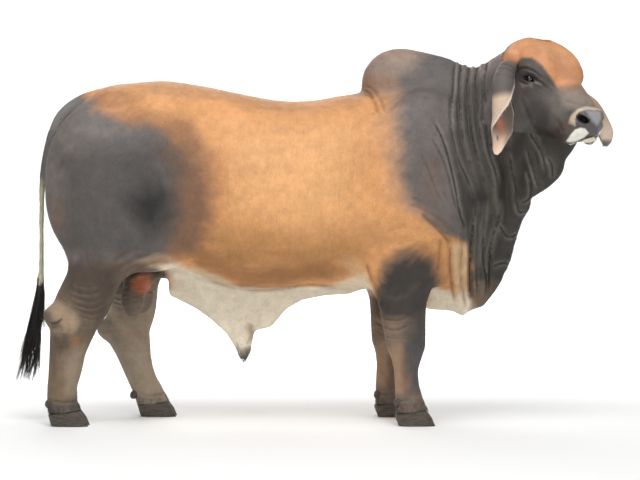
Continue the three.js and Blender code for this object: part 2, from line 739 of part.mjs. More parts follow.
function geometryOf({ points, faces }) {
  const geometry = new THREE.BufferGeometry();
  geometry.setAttribute("position", new THREE.Float32BufferAttribute(points, 3));
  geometry.setIndex([...faces]);
  return geometry;
}

// Solids: joining and cutting
function toSolid(geometry) {
  const bare = geometry.clone();
  for (const name of Object.keys(bare.attributes)) if (name !== "position") bare.deleteAttribute(name);
  const merged = mergeVertices(bare, 1e-4);
  const vertProperties = Float32Array.from(merged.attributes.position.array);
  const triVerts = Uint32Array.from(merged.index.array);
  const solid = new wasm.Manifold(new wasm.Mesh({ numProp: 3, vertProperties, triVerts }));
  if (solid.volume() > 0) return solid;
  // drawn inside out: turned right side out
  return new wasm.Manifold(new wasm.Mesh({ numProp: 3, vertProperties, triVerts: triVerts.reverse() }));
}
function toGeometry(solid) {
  const mesh = solid.getMesh();
  const geometry = new THREE.BufferGeometry();
  geometry.setAttribute("position", new THREE.Float32BufferAttribute(mesh.vertProperties, 3));
  geometry.setIndex([...mesh.triVerts]);
  return geometry;
}
const largest = (solid) => solid.decompose().sort((p, q) => q.volume() - p.volume())[0];

// What a field holds within a box, at about `triangles` faces.
function solidOf(field, low, high, cell, triangles) {
  const surface = thin(settle(readSurface(field, low, high, cell), field, low, high, cell), triangles);
  return largest(toSolid(geometryOf(surface)));
}

// A thin saw blade: a run of side-view points, as thick as a cut, reaching from one y to another.
// It stands in the body's frame, or in the head's with `place`.
function blade(run, fromY, toY, place = (x, y, z) => new THREE.Vector3(x, y, z), thick = GAP) {
  return skinOver(run.map(([x, z], i) => {
    const [ax, az] = run[Math.max(i - 1, 0)];
    const [bx, bz] = run[Math.min(i + 1, run.length - 1)];
    const half = thick / 2 / Math.hypot(bx - ax, bz - az);
    const nx = -(bz - az) * half;
    const nz = (bx - ax) * half;
    return [
      place(x + nx, fromY, z + nz),
      place(x + nx, toY, z + nz),
      place(x - nx, toY, z - nz),
      place(x - nx, fromY, z - nz),
    ];
  }));
}
function block(low, high) {
  const size = high.map((v, i) => v - low[i]);
  const geometry = new THREE.BoxGeometry(...size);
  geometry.translate(...high.map((v, i) => (v + low[i]) / 2));
  return toSolid(geometry);
}
// Cuts a solid with blades and gives the pieces; `pieceAt` picks the one that holds a place.
const sawn = (solid, ...blades) => blades.reduce((rest, cut) => rest.subtract(cut), solid).decompose();
function pieceAt(pieces, place) {
  const probe = new THREE.OctahedronGeometry(4);
  probe.translate(...place);
  const mark = toSolid(probe);
  return pieces.find((piece) => piece.intersect(mark).volume() > 1);
}

// Shapes drawn directly

// A closed skin over rings of points, each ring as long as the next; the ends are closed with fans.
function skinOver(rings) {
  const sides = rings[0].length;
  const points = rings.flat().flatMap((p) => p.toArray());
  const faces = [];
  for (let r = 1; r < rings.length; r++) {
    for (let i = 0; i < sides; i++) {
      const a = (r - 1) * sides + i;
      const b = (r - 1) * sides + (i + 1) % sides;
      faces.push(a, b, b + sides, a, b + sides, a + sides);
    }
  }
  [0, rings.length - 1].forEach((r) => {
    const middle = rings[r].reduce((sum, p) => sum.add(p), new THREE.Vector3()).divideScalar(sides);
    const hub = points.length / 3;
    points.push(...middle.toArray());
    for (let i = 0; i < sides; i++) {
      const a = r * sides + i;
      const b = r * sides + (i + 1) % sides;
      faces.push(...(r === 0 ? [hub, b, a] : [hub, a, b]));
    }
  });
  return toSolid(geometryOf({ points, faces }));
}

// A round rope along a curve.
function rope(curve, radius, steps, sides, from = 0, to = 1) {
  const rings = [];
  for (let i = 0; i <= steps; i++) {
    const t = lerp(from, to, i / steps);
    const at = curve.getPoint(t);
    const along = curve.getTangent(t);
    const side = new THREE.Vector3(0, 1, 0).cross(along).normalize();
    const up = along.clone().cross(side);
    rings.push(Array.from({ length: sides }, (_, k) => {
      const turn = k / sides * Math.PI * 2;
      return at.clone()
        .addScaledVector(side, radius(t) * Math.cos(turn))
        .addScaledVector(up, radius(t) * Math.sin(turn));
    }));
  }
  return skinOver(rings);
}

// An ear: a leaf rolled about its own axis.
// Rows: place along it, radius of the roll, half angle in degrees.
const EAR_ROLL = track([
  [0, 20, 150],
  [0.12, 28, 150],
  [0.28, 41, 148],
  [0.45, 50, 138],
  [0.65, 54, 116],
  [0.82, 48, 92],
  [0.94, 37, 76],
  [1, 20, 56],
]);
function ear(path, openFrom, openTo) {
  const along = 11;
  const across = 6;
  const axis = new THREE.CatmullRomCurve3(path.map((p) => new THREE.Vector3(...p)));
  const outer = [];
  const inner = [];
  const s = [0, 0];
  for (let i = 0; i <= along; i++) {
    const t = i / along;
    EAR_ROLL(t, s);
    const at = axis.getPointAt(t);
    const down = axis.getTangentAt(t);
    const turn = degToRad(lerp(openFrom, openTo, smoothstep(t, 0.3, 0.97)));
    const open = new THREE.Vector3(Math.cos(turn), Math.sin(turn), 0);
    open.addScaledVector(down, -open.dot(down)).normalize();
    const side = down.clone().cross(open);
    for (let k = 0; k <= across; k++) {
      const share = k / across * 2 - 1;
      const angle = degToRad(share * s[1]);
      const out = open.clone().multiplyScalar(-Math.cos(angle)).addScaledVector(side, Math.sin(angle));
      const thick = lerp(7, 4, Math.abs(share) ** 3) * lerp(1, 0.6, t);
      outer.push(at.clone().addScaledVector(out, s[0]));
      inner.push(at.clone().addScaledVector(out, s[0] - thick));
    }
  }
  const points = [...outer, ...inner].flatMap((p) => p.toArray());
  const back = outer.length;
  const row = across + 1;
  const faces = [];
  const quad = (a, b, c, d) => faces.push(a, b, c, a, c, d);
  for (let i = 0; i < along; i++) {
    for (let k = 0; k < across; k++) {
      const a = i * row + k;
      quad(a, a + row, a + row + 1, a + 1);
      quad(back + a, back + a + 1, back + a + row + 1, back + a + row);
    }
    const a = i * row;
    const b = a + across;
    quad(a, back + a, back + a + row, a + row);
    quad(b, b + row, back + b + row, back + b);
  }
  for (let k = 0; k < across; k++) {
    const last = along * row + k;
    quad(k, k + 1, back + k + 1, back + k);
    quad(last, back + last, back + last + 1, last + 1);
  }
  const solid = toSolid(geometryOf({ points, faces }));
  const within = Math.floor(along / 2) * row + across / 2;
  const probe = outer[within].clone().lerp(inner[within], 0.5).toArray();
  return { solid, axis, probe };
}

// The trunk and what is parted from it
const HIND_CUT = 640;
const FORE_CUT = 565;
const body = solidOf(flesh, [-1180, -420, 250], [1250, 420, 1760], BODY_CELL, 4500);
const tailRope = rope(TAIL_PATH, tailRadius, 22, 8);

// A saw stroke square across a curve, as wide as the rope it parts.
function crossCut(at, along, half) {
  const geometry = new THREE.BoxGeometry(half * 2, half * 2, GAP);
  geometry.applyQuaternion(new THREE.Quaternion().setFromUnitVectors(new THREE.Vector3(0, 0, 1), along));
  geometry.translate(at.x, at.y, at.z);
  return toSolid(geometry);
}

// The head is what lies in front of a slanting plane behind the poll and above the lower edge of the jaw.
// `grow` moves both a little outwards.
const POLL_AT = new THREE.Vector3(940, -26, 1588);
const POLL_YAW = degToRad(-24);
const POLL_PITCH = degToRad(15);
const JAW_EDGE = [[-600, -214], [60, -220], [200, -196], [330, -166], [400, -150], [700, -110]];
function headRegion(grow) {
  const size = 1600;
  const infront = new THREE.BoxGeometry(size, size, size);
  infront.translate(size / 2 - grow, 0, 0);
  const facing = new THREE.Euler(0, POLL_PITCH, POLL_YAW, "ZYX");
  infront.applyMatrix4(new THREE.Matrix4().makeRotationFromEuler(facing));
  infront.translate(...POLL_AT.toArray());
  const above = skinOver(JAW_EDGE.map(([u, w]) => [
    fromHead(u, -size / 2, w - grow),
    fromHead(u, size / 2, w - grow),
    fromHead(u, size / 2, size),
    fromHead(u, -size / 2, size),
  ]));
  return toSolid(infront).intersect(above);
}
const trunkPieces = sawn(
  body.add(tailRope),
  headRegion(GAP),
  // hump along its root, neck at the shoulder, dewlap along the throat and breast bone
  blade([
    [200, 1500], [262, 1478], [340, 1466], [470, 1463], [600, 1468], [690, 1500], [742, 1640],
  ], -200, 200),
  blade([[742, 1800], [735, 1560], [740, 1300], [790, 1020], [820, 820], [818, 740]], -500, 500),
  blade([[330, 560], [480, 575], [600, 583]], -105, 105),
  blade([
    [594, 583], [640, 585], [740, 640], [818, 740], [880, 900], [960, 1080], [1050, 1230], [1200, 1440],
  ], -500, 500),
  // shoulder, barrel and hindquarters
  blade([[270, 300], [262, 800], [258, 1470], [262, 1478]], -500, 500),
  blade([[-585, 500], [-575, 900], [-570, 1700]], -500, 500),
  // thighs, right and left
  block([-1125, -500, 860], [-576, 500, 860 + GAP]),
  block([-1100, -GAP / 2, 636], [-576, GAP / 2, 861]),
  block([-1100, -GAP / 2, 560], [-862, GAP / 2, 637]),
  // below the elbows and the stifles the legs are made finer
  block([250, 60, FORE_CUT], [700, 400, FORE_CUT + GAP]),
  block([250, -400, FORE_CUT], [700, -60, FORE_CUT + GAP]),
  block([-1200, 102, HIND_CUT], [-560, 400, HIND_CUT + GAP]),
  block([-1200, -400, HIND_CUT], [-560, -102, HIND_CUT + GAP]),
  // scrotum and sheath from the belly, then from each other
  blade([[-860, 636], [-570, 636], [-500, 608], [-400, 568], [-290, 558], [130, 564], [300, 580]], -104, 104),
  block([-648, -104, 540], [-648 + GAP, 104, 637]),
  // tail where it leaves the rump, and at the end of the dock
  crossCut(TAIL_PATH.getPoint(0.31), TAIL_PATH.getTangent(0.31), 45),
  crossCut(TAIL_PATH.getPoint(0.6), TAIL_PATH.getTangent(0.6), 30),
);

const group = new THREE.Group();
group.name = "brahman_cattle";
function add(name, solid, colour, roughness = 0.85) {
  const geometry = toGeometry(solid);
  const material = new THREE.MeshStandardMaterial({ color: colour, roughness, metalness: 0 });
  const mesh = new THREE.Mesh(geometry, material);
  mesh.name = name;
  group.add(mesh);
}

add("barrel", pieceAt(trunkPieces, [-150, 0, 1000]), COLOUR.tan);
add("shoulders", pieceAt(trunkPieces, [450, 0, 1000]), COLOUR.tan);
add("hindquarters", pieceAt(trunkPieces, [-800, 0, 1200]), COLOUR.rump);
add("hump", pieceAt(trunkPieces, [440, 0, 1550]), COLOUR.hump);
add("neck", pieceAt(trunkPieces, [860, -30, 1350]), COLOUR.neck);
add("dewlap", pieceAt(trunkPieces, [900, -20, 800]), COLOUR.dewlap);
add("sheath", pieceAt(trunkPieces, [-262, 0, 400]), COLOUR.sheath);
add("scrotum", pieceAt(trunkPieces, [-742, -46, 544]), COLOUR.scrotum);
add("thigh_right", pieceAt(trunkPieces, [-850, -190, 780]), COLOUR.rump);
add("thigh_left", pieceAt(trunkPieces, [-820, 190, 780]), COLOUR.rump);
add("tail_dock", pieceAt(trunkPieces, TAIL_PATH.getPoint(0.45).toArray()), COLOUR.tailDark);

// Tail shaft and switch. The switch is a short core, which the shaft runs into, and locks of hair
// that leave the core in tiers and hang to the tip.
const SWITCH_PATH = new THREE.CatmullRomCurve3([
  [-1156, 0, 640], [-1158, 0, 590], [-1166, 0, 520], [-1178, 0, 430], [-1190, 0, 340], [-1204, 0, 250],
  [-1222, 0, 166],
].map((p) => new THREE.Vector3(...p)));
const CORE_END = 0.44;
const CORE_RADIUS = track([[0, 15], [0.15, 20], [0.3, 24], [0.4, 16], [CORE_END, 7]]);
const switchCore = rope(SWITCH_PATH, (t) => {
  const out = [0];
  CORE_RADIUS(t, out);
  return out[0];
}, 6, 8, 0, CORE_END);
// Tiers: locks, where the roots start and end along the path, where the tips end, spread and half width.
const TIERS = [
  { locks: 6, root: [0.08, 0.16], tip: [0.46, 0.6], spread: [28, 34], wide: [15, 18] },
  { locks: 7, root: [0.2, 0.28], tip: [0.66, 0.82], spread: [32, 42], wide: [15, 18] },
  { locks: 9, root: [0.3, 0.38], tip: [0.82, 0.99], spread: [20, 46], wide: [13, 17] },
];
let draw = 20127;
const between = ([low, high]) => {
  draw = draw * 16807 % 2147483647;
  return lerp(low, high, draw / 2147483647);
};
function lock(from, to, turn, spread, wide) {
  const steps = 4;
  const curl = between([-0.4, 0.4]);
  const rings = [];
  for (let i = 0; i <= steps; i++) {
    const t = i / steps;
    const around = turn + curl * t;
    const outward = new THREE.Vector3(Math.cos(around), Math.sin(around), 0);
    const across = new THREE.Vector3(-Math.sin(around), Math.cos(around), 0);
    const away = lerp(6, spread, Math.sin(t * 1.8));
    const at = SWITCH_PATH.getPoint(lerp(from, to, t)).addScaledVector(outward, away);
    const half = wide * (t < 0.25 ? lerp(0.6, 1, t * 4) : 1 - 0.94 * ((t - 0.25) / 0.75) ** 1.7);
    const thick = half * 0.4 + 0.4;
    rings.push([
      at.clone().addScaledVector(outward, thick),
      at.clone().addScaledVector(across, half),
      at.clone().addScaledVector(outward, -thick),
      at.clone().addScaledVector(across, -half),
    ]);
  }
  return skinOver(rings);
}
const locks = TIERS.flatMap(({ locks: count, root, tip, spread, wide }) => (
  Array.from({ length: count }, (_, i) => {
    const from = between(root);
    const to = between(tip);
    const turn = (i + between([-0.25, 0.25])) / count * Math.PI * 2;
    return lock(from, to, turn, between(spread), between(wide));
  })
));
const tailPieces = sawn(
  locks.reduce((whole, one) => whole.add(one), tailRope.add(switchCore)),
  crossCut(TAIL_PATH.getPoint(0.6), TAIL_PATH.getTangent(0.6), 30),
  block([-1300, -100, 606], [-1000, 100, 606 + GAP]),
);
add("tail_shaft", pieceAt(tailPieces, TAIL_PATH.getPoint(0.8).toArray()), COLOUR.tailPale);
add("tail_switch", pieceAt(tailPieces, SWITCH_PATH.getPoint(0.3).toArray()), COLOUR.switch);

// Lower legs, each read on a finer grid, and their hooves. Heights of the upper and lower cut,
// the box in plan that holds the leg, the middle of the foot, and where the dewclaws stand out behind.
const LEGS = [
  {
    name: "hindleg_right",
    top: HIND_CUT,
    knee: 398,
    box: [[-1180, -330], [-740, -97]],
    foot: [-1010, -215],
    back: -1089,
  },
  {
    name: "hindleg_left",
    top: HIND_CUT,
    knee: 325,
    box: [[-960, 97], [-570, 330]],
    foot: [-655, 215],
    back: -755,
  },
  {
    name: "foreleg_right",
    top: FORE_CUT,
    knee: 300,
    box: [[270, -330], [660, -97]],
    foot: [500, -200],
    back: 431,
  },
  {
    name: "foreleg_left",
    top: FORE_CUT,
    knee: 300,
    box: [[250, 97], [640, 330]],
    foot: [420, 200],
    back: 353,
  },
];
const CORONET = 60;
const CORONET_SLOPE = 0.12;
for (const { name, top, knee, box, foot, back } of LEGS) {
  const [cx, cy] = foot;
  const fore = name.startsWith("fore");
  const colour = fore ? COLOUR.foreleg : COLOUR.hindleg;
  const low = [...box[0], -10];
  const high = [...box[1], top + 34];
  // everything under the coronet, and the same moved down by a cut for the hoof
  const under = (drop) => {
    const geometry = new THREE.BoxGeometry(600, 300, 300);
    geometry.translate(0, 0, -150 - drop);
    geometry.rotateY(-CORONET_SLOPE);
    geometry.translate(cx, cy, CORONET);
    return toSolid(geometry);
  };
  const leg = solidOf(flesh, low, high, LEG_CELL, 400)
    .subtract(block([cx - 500, cy - 300, top], [cx + 500, cy + 300, top + 200]))
    .subtract(under(0));
  const kneeCut = block([cx - 500, cy - 300, knee], [cx + 500, cy + 300, knee + GAP]);
  const [lower, upper] = sawn(largest(leg), kneeCut)
    .sort((p, q) => q.volume() - p.volume()).slice(0, 2)
    .sort((p, q) => p.boundingBox().min[2] - q.boundingBox().min[2]);
  add(name + (fore ? "_forearm" : "_gaskin"), upper, colour);
  add(name + "_cannon", lower, colour);
  for (const side of [-1, 1]) {
    const sideName = side < 0 ? "_right" : "_left";
    const square = 2.6;
    const claw = (x, y, z) => {
      const a = Math.abs((x - cx - 12 + z * 0.42) / 80);
      const b = Math.abs((y - cy - side * (30 + CLAW_GAP / 2)) / 30);
      const c = Math.abs((z - 8) / 92);
      const round = Math.pow(a, square) + Math.pow(b, square) + Math.pow(c, square);
      return (Math.pow(round, 1 / square) - 1) * 30;
    };
    const hoof = solidOf(claw, [cx - 130, cy - 75, -30], [cx + 120, cy + 75, 112], 9, 84)
      .subtract(block([cx - 200, cy - 200, -200], [cx + 200, cy + 200, 0]))
      .intersect(under(GAP));
    add(name + "_claw" + sideName, largest(hoof), COLOUR.hoof, 0.5);
    const spur = new THREE.SphereGeometry(1, 8, 5)
      .scale(19, 16, 24)
      .rotateY(0.5)
      .translate(back, cy + side * 25, 100);
    const dewclaw = toSolid(spur).subtract(lower).translate([-GAP, 0, 0]);
    add(name + "_dewclaw" + sideName, largest(dewclaw), COLOUR.hoof, 0.5);
  }
}

// Head, eyes, ears
const skullSolid = solidOf(flesh, [800, -560, 1110], [1420, 260, 1740], HEAD_CELL, 2300);
const rightEar = ear([
  [952, -162, 1590], [925, -200, 1604], [902, -262, 1590], [882, -318, 1535], [876, -345, 1470],
  [880, -358, 1400],
  [876, -366, 1330], [862, -374, 1255], [842, -380, 1180],
], 40, -92);
const leftEar = ear([
  [1096, -36, 1590], [1128, -6, 1600], [1160, 30, 1588], [1186, 62, 1550], [1206, 86, 1500],
  [1240, 100, 1440],
  [1298, 108, 1390], [1336, 110, 1345], [1362, 110, 1300], [1374, 108, 1256], [1376, 104, 1220],
], -120, -155);

const [eyeU, eyeV, eyeW] = EYE_AT;
const eyeBall = new THREE.IcosahedronGeometry(EYE_RADIUS, 2);
function eyeParts(side) {
  const at = fromHead(eyeU, side * eyeV, eyeW);
  const out = fromHead(0.42, side * 0.9, 0.1).sub(HEAD_AT).normalize();
  const along = fromHead(1, 0, 0.3).sub(HEAD_AT);
  along.addScaledVector(out, -along.dot(out)).normalize();
  const basis = new THREE.Matrix4().makeBasis(along, out.clone().cross(along), out).setPosition(at);
  const almond = new THREE.Shape();
  almond.moveTo(-26, -1);
  almond.quadraticCurveTo(-4, 28, 34, -3);
  almond.quadraticCurveTo(4, -27, -26, -1);
  const slit = new THREE.ExtrudeGeometry(almond, { depth: 60, bevelEnabled: false, curveSegments: 5 });
  const grown = eyeBall.clone().scale(1 + GAP / EYE_RADIUS, 1 + GAP / EYE_RADIUS, 1 + GAP / EYE_RADIUS);
  return {
    ball: toSolid(eyeBall.clone().translate(at.x, at.y, at.z)),
    socket: toSolid(grown.translate(at.x, at.y, at.z)).add(toSolid(slit.applyMatrix4(basis))),
  };
}
const eyes = { right: eyeParts(-1), left: eyeParts(1) };

// Nostrils are scooped out; the mouth is a thin line that goes a little way in.
function nostril(side) {
  const out = fromHead(0.82, side * 0.55, 0.1).sub(HEAD_AT).normalize();
  const along = fromHead(0.35, -side * 0.75, -0.2).sub(HEAD_AT);
  along.addScaledVector(out, -along.dot(out)).normalize();
  const basis = new THREE.Matrix4().makeBasis(along, out.clone().cross(along), out);
  basis.setPosition(fromHead(404, side * 60, -4));
  return toSolid(new THREE.IcosahedronGeometry(1, 2).scale(32, 17, 30).applyMatrix4(basis));
}
const MOUTH = [[316, -126], [345, -128], [378, -114], [410, -88], [440, -62], [480, -46]];
const mouthBlade = blade(MOUTH, -110, 110, fromHead, 3.2);
const core = solidOf((x, y, z) => flesh(x, y, z) + 9, [1080, -520, 1150], [1400, -150, 1480], 14, 500);

const headPieces = sawn(
  largest(skullSolid.intersect(headRegion(0))).add(rightEar.solid).add(leftEar.solid)
    .subtract(eyes.right.socket).subtract(eyes.left.socket)
    .subtract(nostril(-1)).subtract(nostril(1))
    .subtract(mouthBlade.subtract(core)),
  crossCut(rightEar.axis.getPointAt(0.125), rightEar.axis.getTangentAt(0.125), 55),
  crossCut(leftEar.axis.getPointAt(0.125), leftEar.axis.getTangentAt(0.125), 55),
);
add("head", pieceAt(headPieces, fromHead(60, 0, 0).toArray()), COLOUR.face);
add("ear_right", pieceAt(headPieces, rightEar.probe), COLOUR.ear);
add("ear_left", pieceAt(headPieces, leftEar.probe), COLOUR.ear);
add("eye_right", eyes.right.ball, COLOUR.eye, 0.15);
add("eye_left", eyes.left.ball, COLOUR.eye, 0.15);

// The whole animal is moved so that X and Y are zero at the middle of its bounds.
const bounds = new THREE.Box3().setFromObject(group);
const middle = bounds.getCenter(new THREE.Vector3());
group.position.set(-middle.x, -middle.y, -bounds.min.z);
group.updateMatrixWorld(true);

export default group;
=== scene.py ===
# %% [markdown]
# # A grey and red Brahman bull
# The bull stands side on and looks at the camera over its right shoulder. The solids give its size and pose.
# This lesson dresses them: one hide over all the flesh, folds and wrinkles pushed into it, lids, ears,
# markings, and hair where hair breaks the outline.

# %% Load the frame
import bpy
import bmesh
import math
import numpy as np
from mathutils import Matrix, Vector


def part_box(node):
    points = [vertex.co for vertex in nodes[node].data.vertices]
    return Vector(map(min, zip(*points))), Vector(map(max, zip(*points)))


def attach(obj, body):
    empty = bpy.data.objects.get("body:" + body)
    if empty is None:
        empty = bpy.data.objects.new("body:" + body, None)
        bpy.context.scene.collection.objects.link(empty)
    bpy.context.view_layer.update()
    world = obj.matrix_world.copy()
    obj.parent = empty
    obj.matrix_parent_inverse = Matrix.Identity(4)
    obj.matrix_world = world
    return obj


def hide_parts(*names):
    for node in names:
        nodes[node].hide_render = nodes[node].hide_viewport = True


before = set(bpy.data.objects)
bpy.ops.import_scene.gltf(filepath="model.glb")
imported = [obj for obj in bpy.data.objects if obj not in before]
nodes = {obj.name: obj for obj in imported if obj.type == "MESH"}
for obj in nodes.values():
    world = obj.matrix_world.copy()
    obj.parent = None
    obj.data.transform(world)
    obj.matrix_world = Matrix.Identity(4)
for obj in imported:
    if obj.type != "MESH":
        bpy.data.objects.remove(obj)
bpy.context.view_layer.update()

# %% [markdown]
# ## Two ways to name a place
# The body was measured in millimetres from a point on the floor under its middle, X forward, Y to its
# left. The frame is centred on the whole animal instead, so the two differ by one shift. The right
# eyeball gives it. The head has axes of its own: u towards the nose, v to its left, w up through the
# forehead. The photograph was taken from ten metres away with a long lens, so a pixel is also a place on
# the near side.

# %% Places
HEAD_AT = np.array([1025.0, -96.0, 1536.0])
HEAD_YAW = math.radians(-49)
HEAD_PITCH = math.radians(30)
LEVEL = math.cos(HEAD_PITCH)
HEAD_U = np.array([math.cos(HEAD_YAW) * LEVEL, math.sin(HEAD_YAW) * LEVEL, -math.sin(HEAD_PITCH)])
HEAD_V = np.array([-math.sin(HEAD_YAW), math.cos(HEAD_YAW), 0.0])
HEAD_W = np.cross(HEAD_U, HEAD_V)
EYE = (98, 121, 28)


def from_head(u, v, w):
    """A place in the head's own frame, in the body's millimetres."""
    return HEAD_AT + u * HEAD_U + v * HEAD_V + w * HEAD_W


def to_head(places):
    off = places - HEAD_AT
    return np.stack([off @ HEAD_U, off @ HEAD_V, off @ HEAD_W], axis=-1)


low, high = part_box("eye_right")
SHIFT = (np.array(low) + np.array(high)) / 2 * 1000 - from_head(EYE[0], -EYE[1], EYE[2])
print("shift in mm", SHIFT.round(2))


def metres(places):
    """From the body's millimetres to the frame's metres."""
    return (np.asarray(places, float) + SHIFT) / 1000


def millimetres(places):
    return np.asarray(places, float) * 1000 - SHIFT


CAMERA_AT = np.array([89.0, -10000.0, 1028.0])
PICTURE_WIDTH = 640
PICTURE_HEIGHT = 480
FOCAL = 2247.0
HORIZON = 190.0


def pixel(places):
    """Where the photograph shows a place, in its 640 by 480 pixels."""
    off = places - CAMERA_AT
    right = PICTURE_WIDTH / 2 + FOCAL * off[..., 0] / off[..., 1]
    below = HORIZON - FOCAL * off[..., 2] / off[..., 1]
    return np.stack([right, below], axis=-1)


# %% [markdown]
# ## Picking pieces
# Blender's commands work on what is selected. So each one here starts by selecting nothing, or only its
# piece.

# %% Select
def deselect():
    bpy.ops.object.select_all(action="DESELECT")


def activate(piece):
    deselect()
    piece.select_set(True)
    bpy.context.view_layer.objects.active = piece


print("start with", len(bpy.context.selected_objects), "selected")

# %% [markdown]
# ## Floor, light and camera
# An overcast sky is one large soft lamp. A pale world does that, and one broad area lamp above and in
# front lifts the back and leaves the belly darker, as outdoors. The floor is a wide sheet of pale paper.
# It curves up far away on every side, so that the bull can be looked at from all round with no edge
# behind it. A grid, wound round its middle and bent at its rim, makes it.

# %% Paper floor
FLAT_REACH = 24.0
BEND_RADIUS = 4.0
PAPER_REACH = 33.3


def paper_bowl():
    """Paper, flat for 24 m round the bull, then curved up into a low wall on every side."""
    deselect()
    bpy.ops.mesh.primitive_grid_add(x_subdivisions=96, y_subdivisions=48, size=1)
    floor = bpy.context.object
    floor.name = "floor"
    quarter = BEND_RADIUS * math.pi / 2
    for vert in floor.data.vertices:
        around = (vert.co.x + 0.5) * 2 * math.pi
        run = (0.5 - vert.co.y) * PAPER_REACH
        bend = min(max(run - FLAT_REACH, 0), quarter) / BEND_RADIUS
        reach = min(run, FLAT_REACH) + BEND_RADIUS * math.sin(bend)
        wall = max(run - FLAT_REACH - quarter, 0)
        height = BEND_RADIUS - BEND_RADIUS * math.cos(bend) + wall
        vert.co = (reach * math.cos(around), reach * math.sin(around), height)
    bpy.ops.object.mode_set(mode="EDIT")
    bpy.ops.mesh.select_all(action="SELECT")
    bpy.ops.mesh.remove_doubles(threshold=0.001)
    bpy.ops.object.mode_set(mode="OBJECT")
    bpy.ops.object.shade_smooth()
    paper = bpy.data.materials.new("pale_studio_floor")
    paper.use_nodes = True
    surface = paper.node_tree.nodes["Principled BSDF"]
    surface.inputs["Base Color"].default_value = (0.88, 0.88, 0.87, 1)
    surface.inputs["Roughness"].default_value = 0.9
    floor.data.materials.append(paper)
    return floor


floor = paper_bowl()
print("floor", len(floor.data.polygons), "faces")

# %% [markdown]
# The world is the sky. Four round lamps shape the bull: a broad one above and in front, a weak one low
# down in front, one behind that draws the line of the back, and one that only lights the paper far
# behind.

# %% Lamps
# Rows: name, place and aim in metres, width in metres, watts.
LAMPS = (
    ("overcast", (-0.5, -3.5, 6.0), (0, 0, 0.9), 5.0, 320),
    ("low_fill", (2.5, -8.0, 2.3), (0.2, 0, 0.9), 3.0, 80),
    ("back_rim", (-1.0, 4.5, 3.5), (0, 0, 1.2), 3.0, 90),
    ("wall_wash", (0.0, 6.0, 12.0), (0, 26, 1), 8.0, 4000),
)


def soft_sky():
    world = bpy.data.worlds.new("soft_sky")
    bpy.context.scene.world = world
    world.use_nodes = True
    sky = world.node_tree.nodes["Background"]
    sky.inputs["Color"].default_value = (0.97, 0.985, 1.0, 1)
    sky.inputs["Strength"].default_value = 0.48


def hang_lamp(name, place, aim, size, power):
    lamp = bpy.data.lights.new(name, "AREA")
    lamp.shape = "DISK"
    lamp.size = size
    lamp.energy = power
    holder = bpy.data.objects.new(name, lamp)
    bpy.context.scene.collection.objects.link(holder)
    holder.location = place
    holder.rotation_euler = (Vector(aim) - Vector(place)).to_track_quat("-Z", "Y").to_euler()


soft_sky()
for row in LAMPS:
    hang_lamp(*row)
print("lamps", [row[0] for row in LAMPS])

# %% [markdown]
# The camera stands where the photograph was taken from, level with the bull's middle. It is tilted down a
# little, because the horizon lies above the middle of the picture.

# %% Camera
def set_camera():
    scene = bpy.context.scene
    lens = bpy.data.cameras.new("long_lens")
    lens.sensor_width = 36
    lens.lens = lens.sensor_width * FOCAL / PICTURE_WIDTH
    camera = bpy.data.objects.new("camera", lens)
    scene.collection.objects.link(camera)
    camera.location = metres(CAMERA_AT)
    tilt = math.atan((PICTURE_HEIGHT / 2 - HORIZON) / FOCAL)
    camera.rotation_euler = (math.pi / 2 - tilt, 0, 0)
    scene.camera = camera
    scene.view_settings.view_transform = "Standard"
    scene.view_settings.look = "None"
    return camera


camera = set_camera()
print("camera at", tuple(round(v, 3) for v in camera.location))

# %% [markdown]
# ## One hide over all the flesh
# A bull has no seam between its neck and its hump, but the solids are parted by thin cuts. Copies of them
# are swollen by half a millimetre so that they meet, joined, and remeshed on a five millimetre grid. That
# gives one closed surface. The eyeballs are joined in as well, so that the lids can later lie close to
# them.

# %% Join and remesh
HIDE_GRID = 0.005
SWELL = 0.0006
NOT_FLESH = ("claw", "eye_", "switch")
flesh_names = sorted(
    name for name in nodes
    if not any(word in name for word in NOT_FLESH) and not name.startswith("ear_")
)


def swollen_copy(name, swell):
    """A copy of a solid with every point moved out a little."""
    copy = nodes[name].copy()
    copy.data = nodes[name].data.copy()
    copy.parent = None
    bpy.context.scene.collection.objects.link(copy)
    for key in list(copy.keys()):
        del copy[key]
    shape = bmesh.new()
    shape.from_mesh(copy.data)
    bmesh.ops.remove_doubles(shape, verts=shape.verts, dist=1e-6)
    shape.normal_update()
    for vert in shape.verts:
        vert.co += vert.normal * swell
    shape.to_mesh(copy.data)
    shape.free()
    return copy


def flesh_in_one():
    copies = [swollen_copy(name, SWELL) for name in flesh_names + ["eye_right", "eye_left"]]
    deselect()
    for copy in copies:
        copy.select_set(True)
    bpy.context.view_layer.objects.active = copies[0]
    bpy.ops.object.join()
    hide = bpy.context.object
    hide.name = "hide"
    hide.data.name = "hide"
    hide.data.materials.clear()
    # a voxel remesh keeps only the outer surface of what it meets
    remesh = hide.modifiers.new("one_surface", "REMESH")
    remesh.mode = "VOXEL"
    remesh.voxel_size = HIDE_GRID
    bpy.ops.object.modifier_apply(modifier="one_surface")
    return hide


hide = flesh_in_one()
print("hide", len(hide.data.vertices), "vertices", len(hide.data.polygons), "faces")

# %% [markdown]
# ## Soft flesh from faceted solids
# The solids are faceted, so the surface is relaxed: each point moves towards the mean of its neighbours,
# again and again. That is done much on the broad body, less on the legs, and least on the head, whose
# forms are small. Reading all points into one array at once is far quicker than a loop over them.

# %% Relax
def read_places(piece):
    flat = np.empty(len(piece.data.vertices) * 3, np.float32)
    piece.data.vertices.foreach_get("co", flat)
    return millimetres(flat.reshape(-1, 3))


def write_places(piece, places):
    piece.data.vertices.foreach_set("co", metres(places).astype(np.float32).ravel())
    piece.data.update()


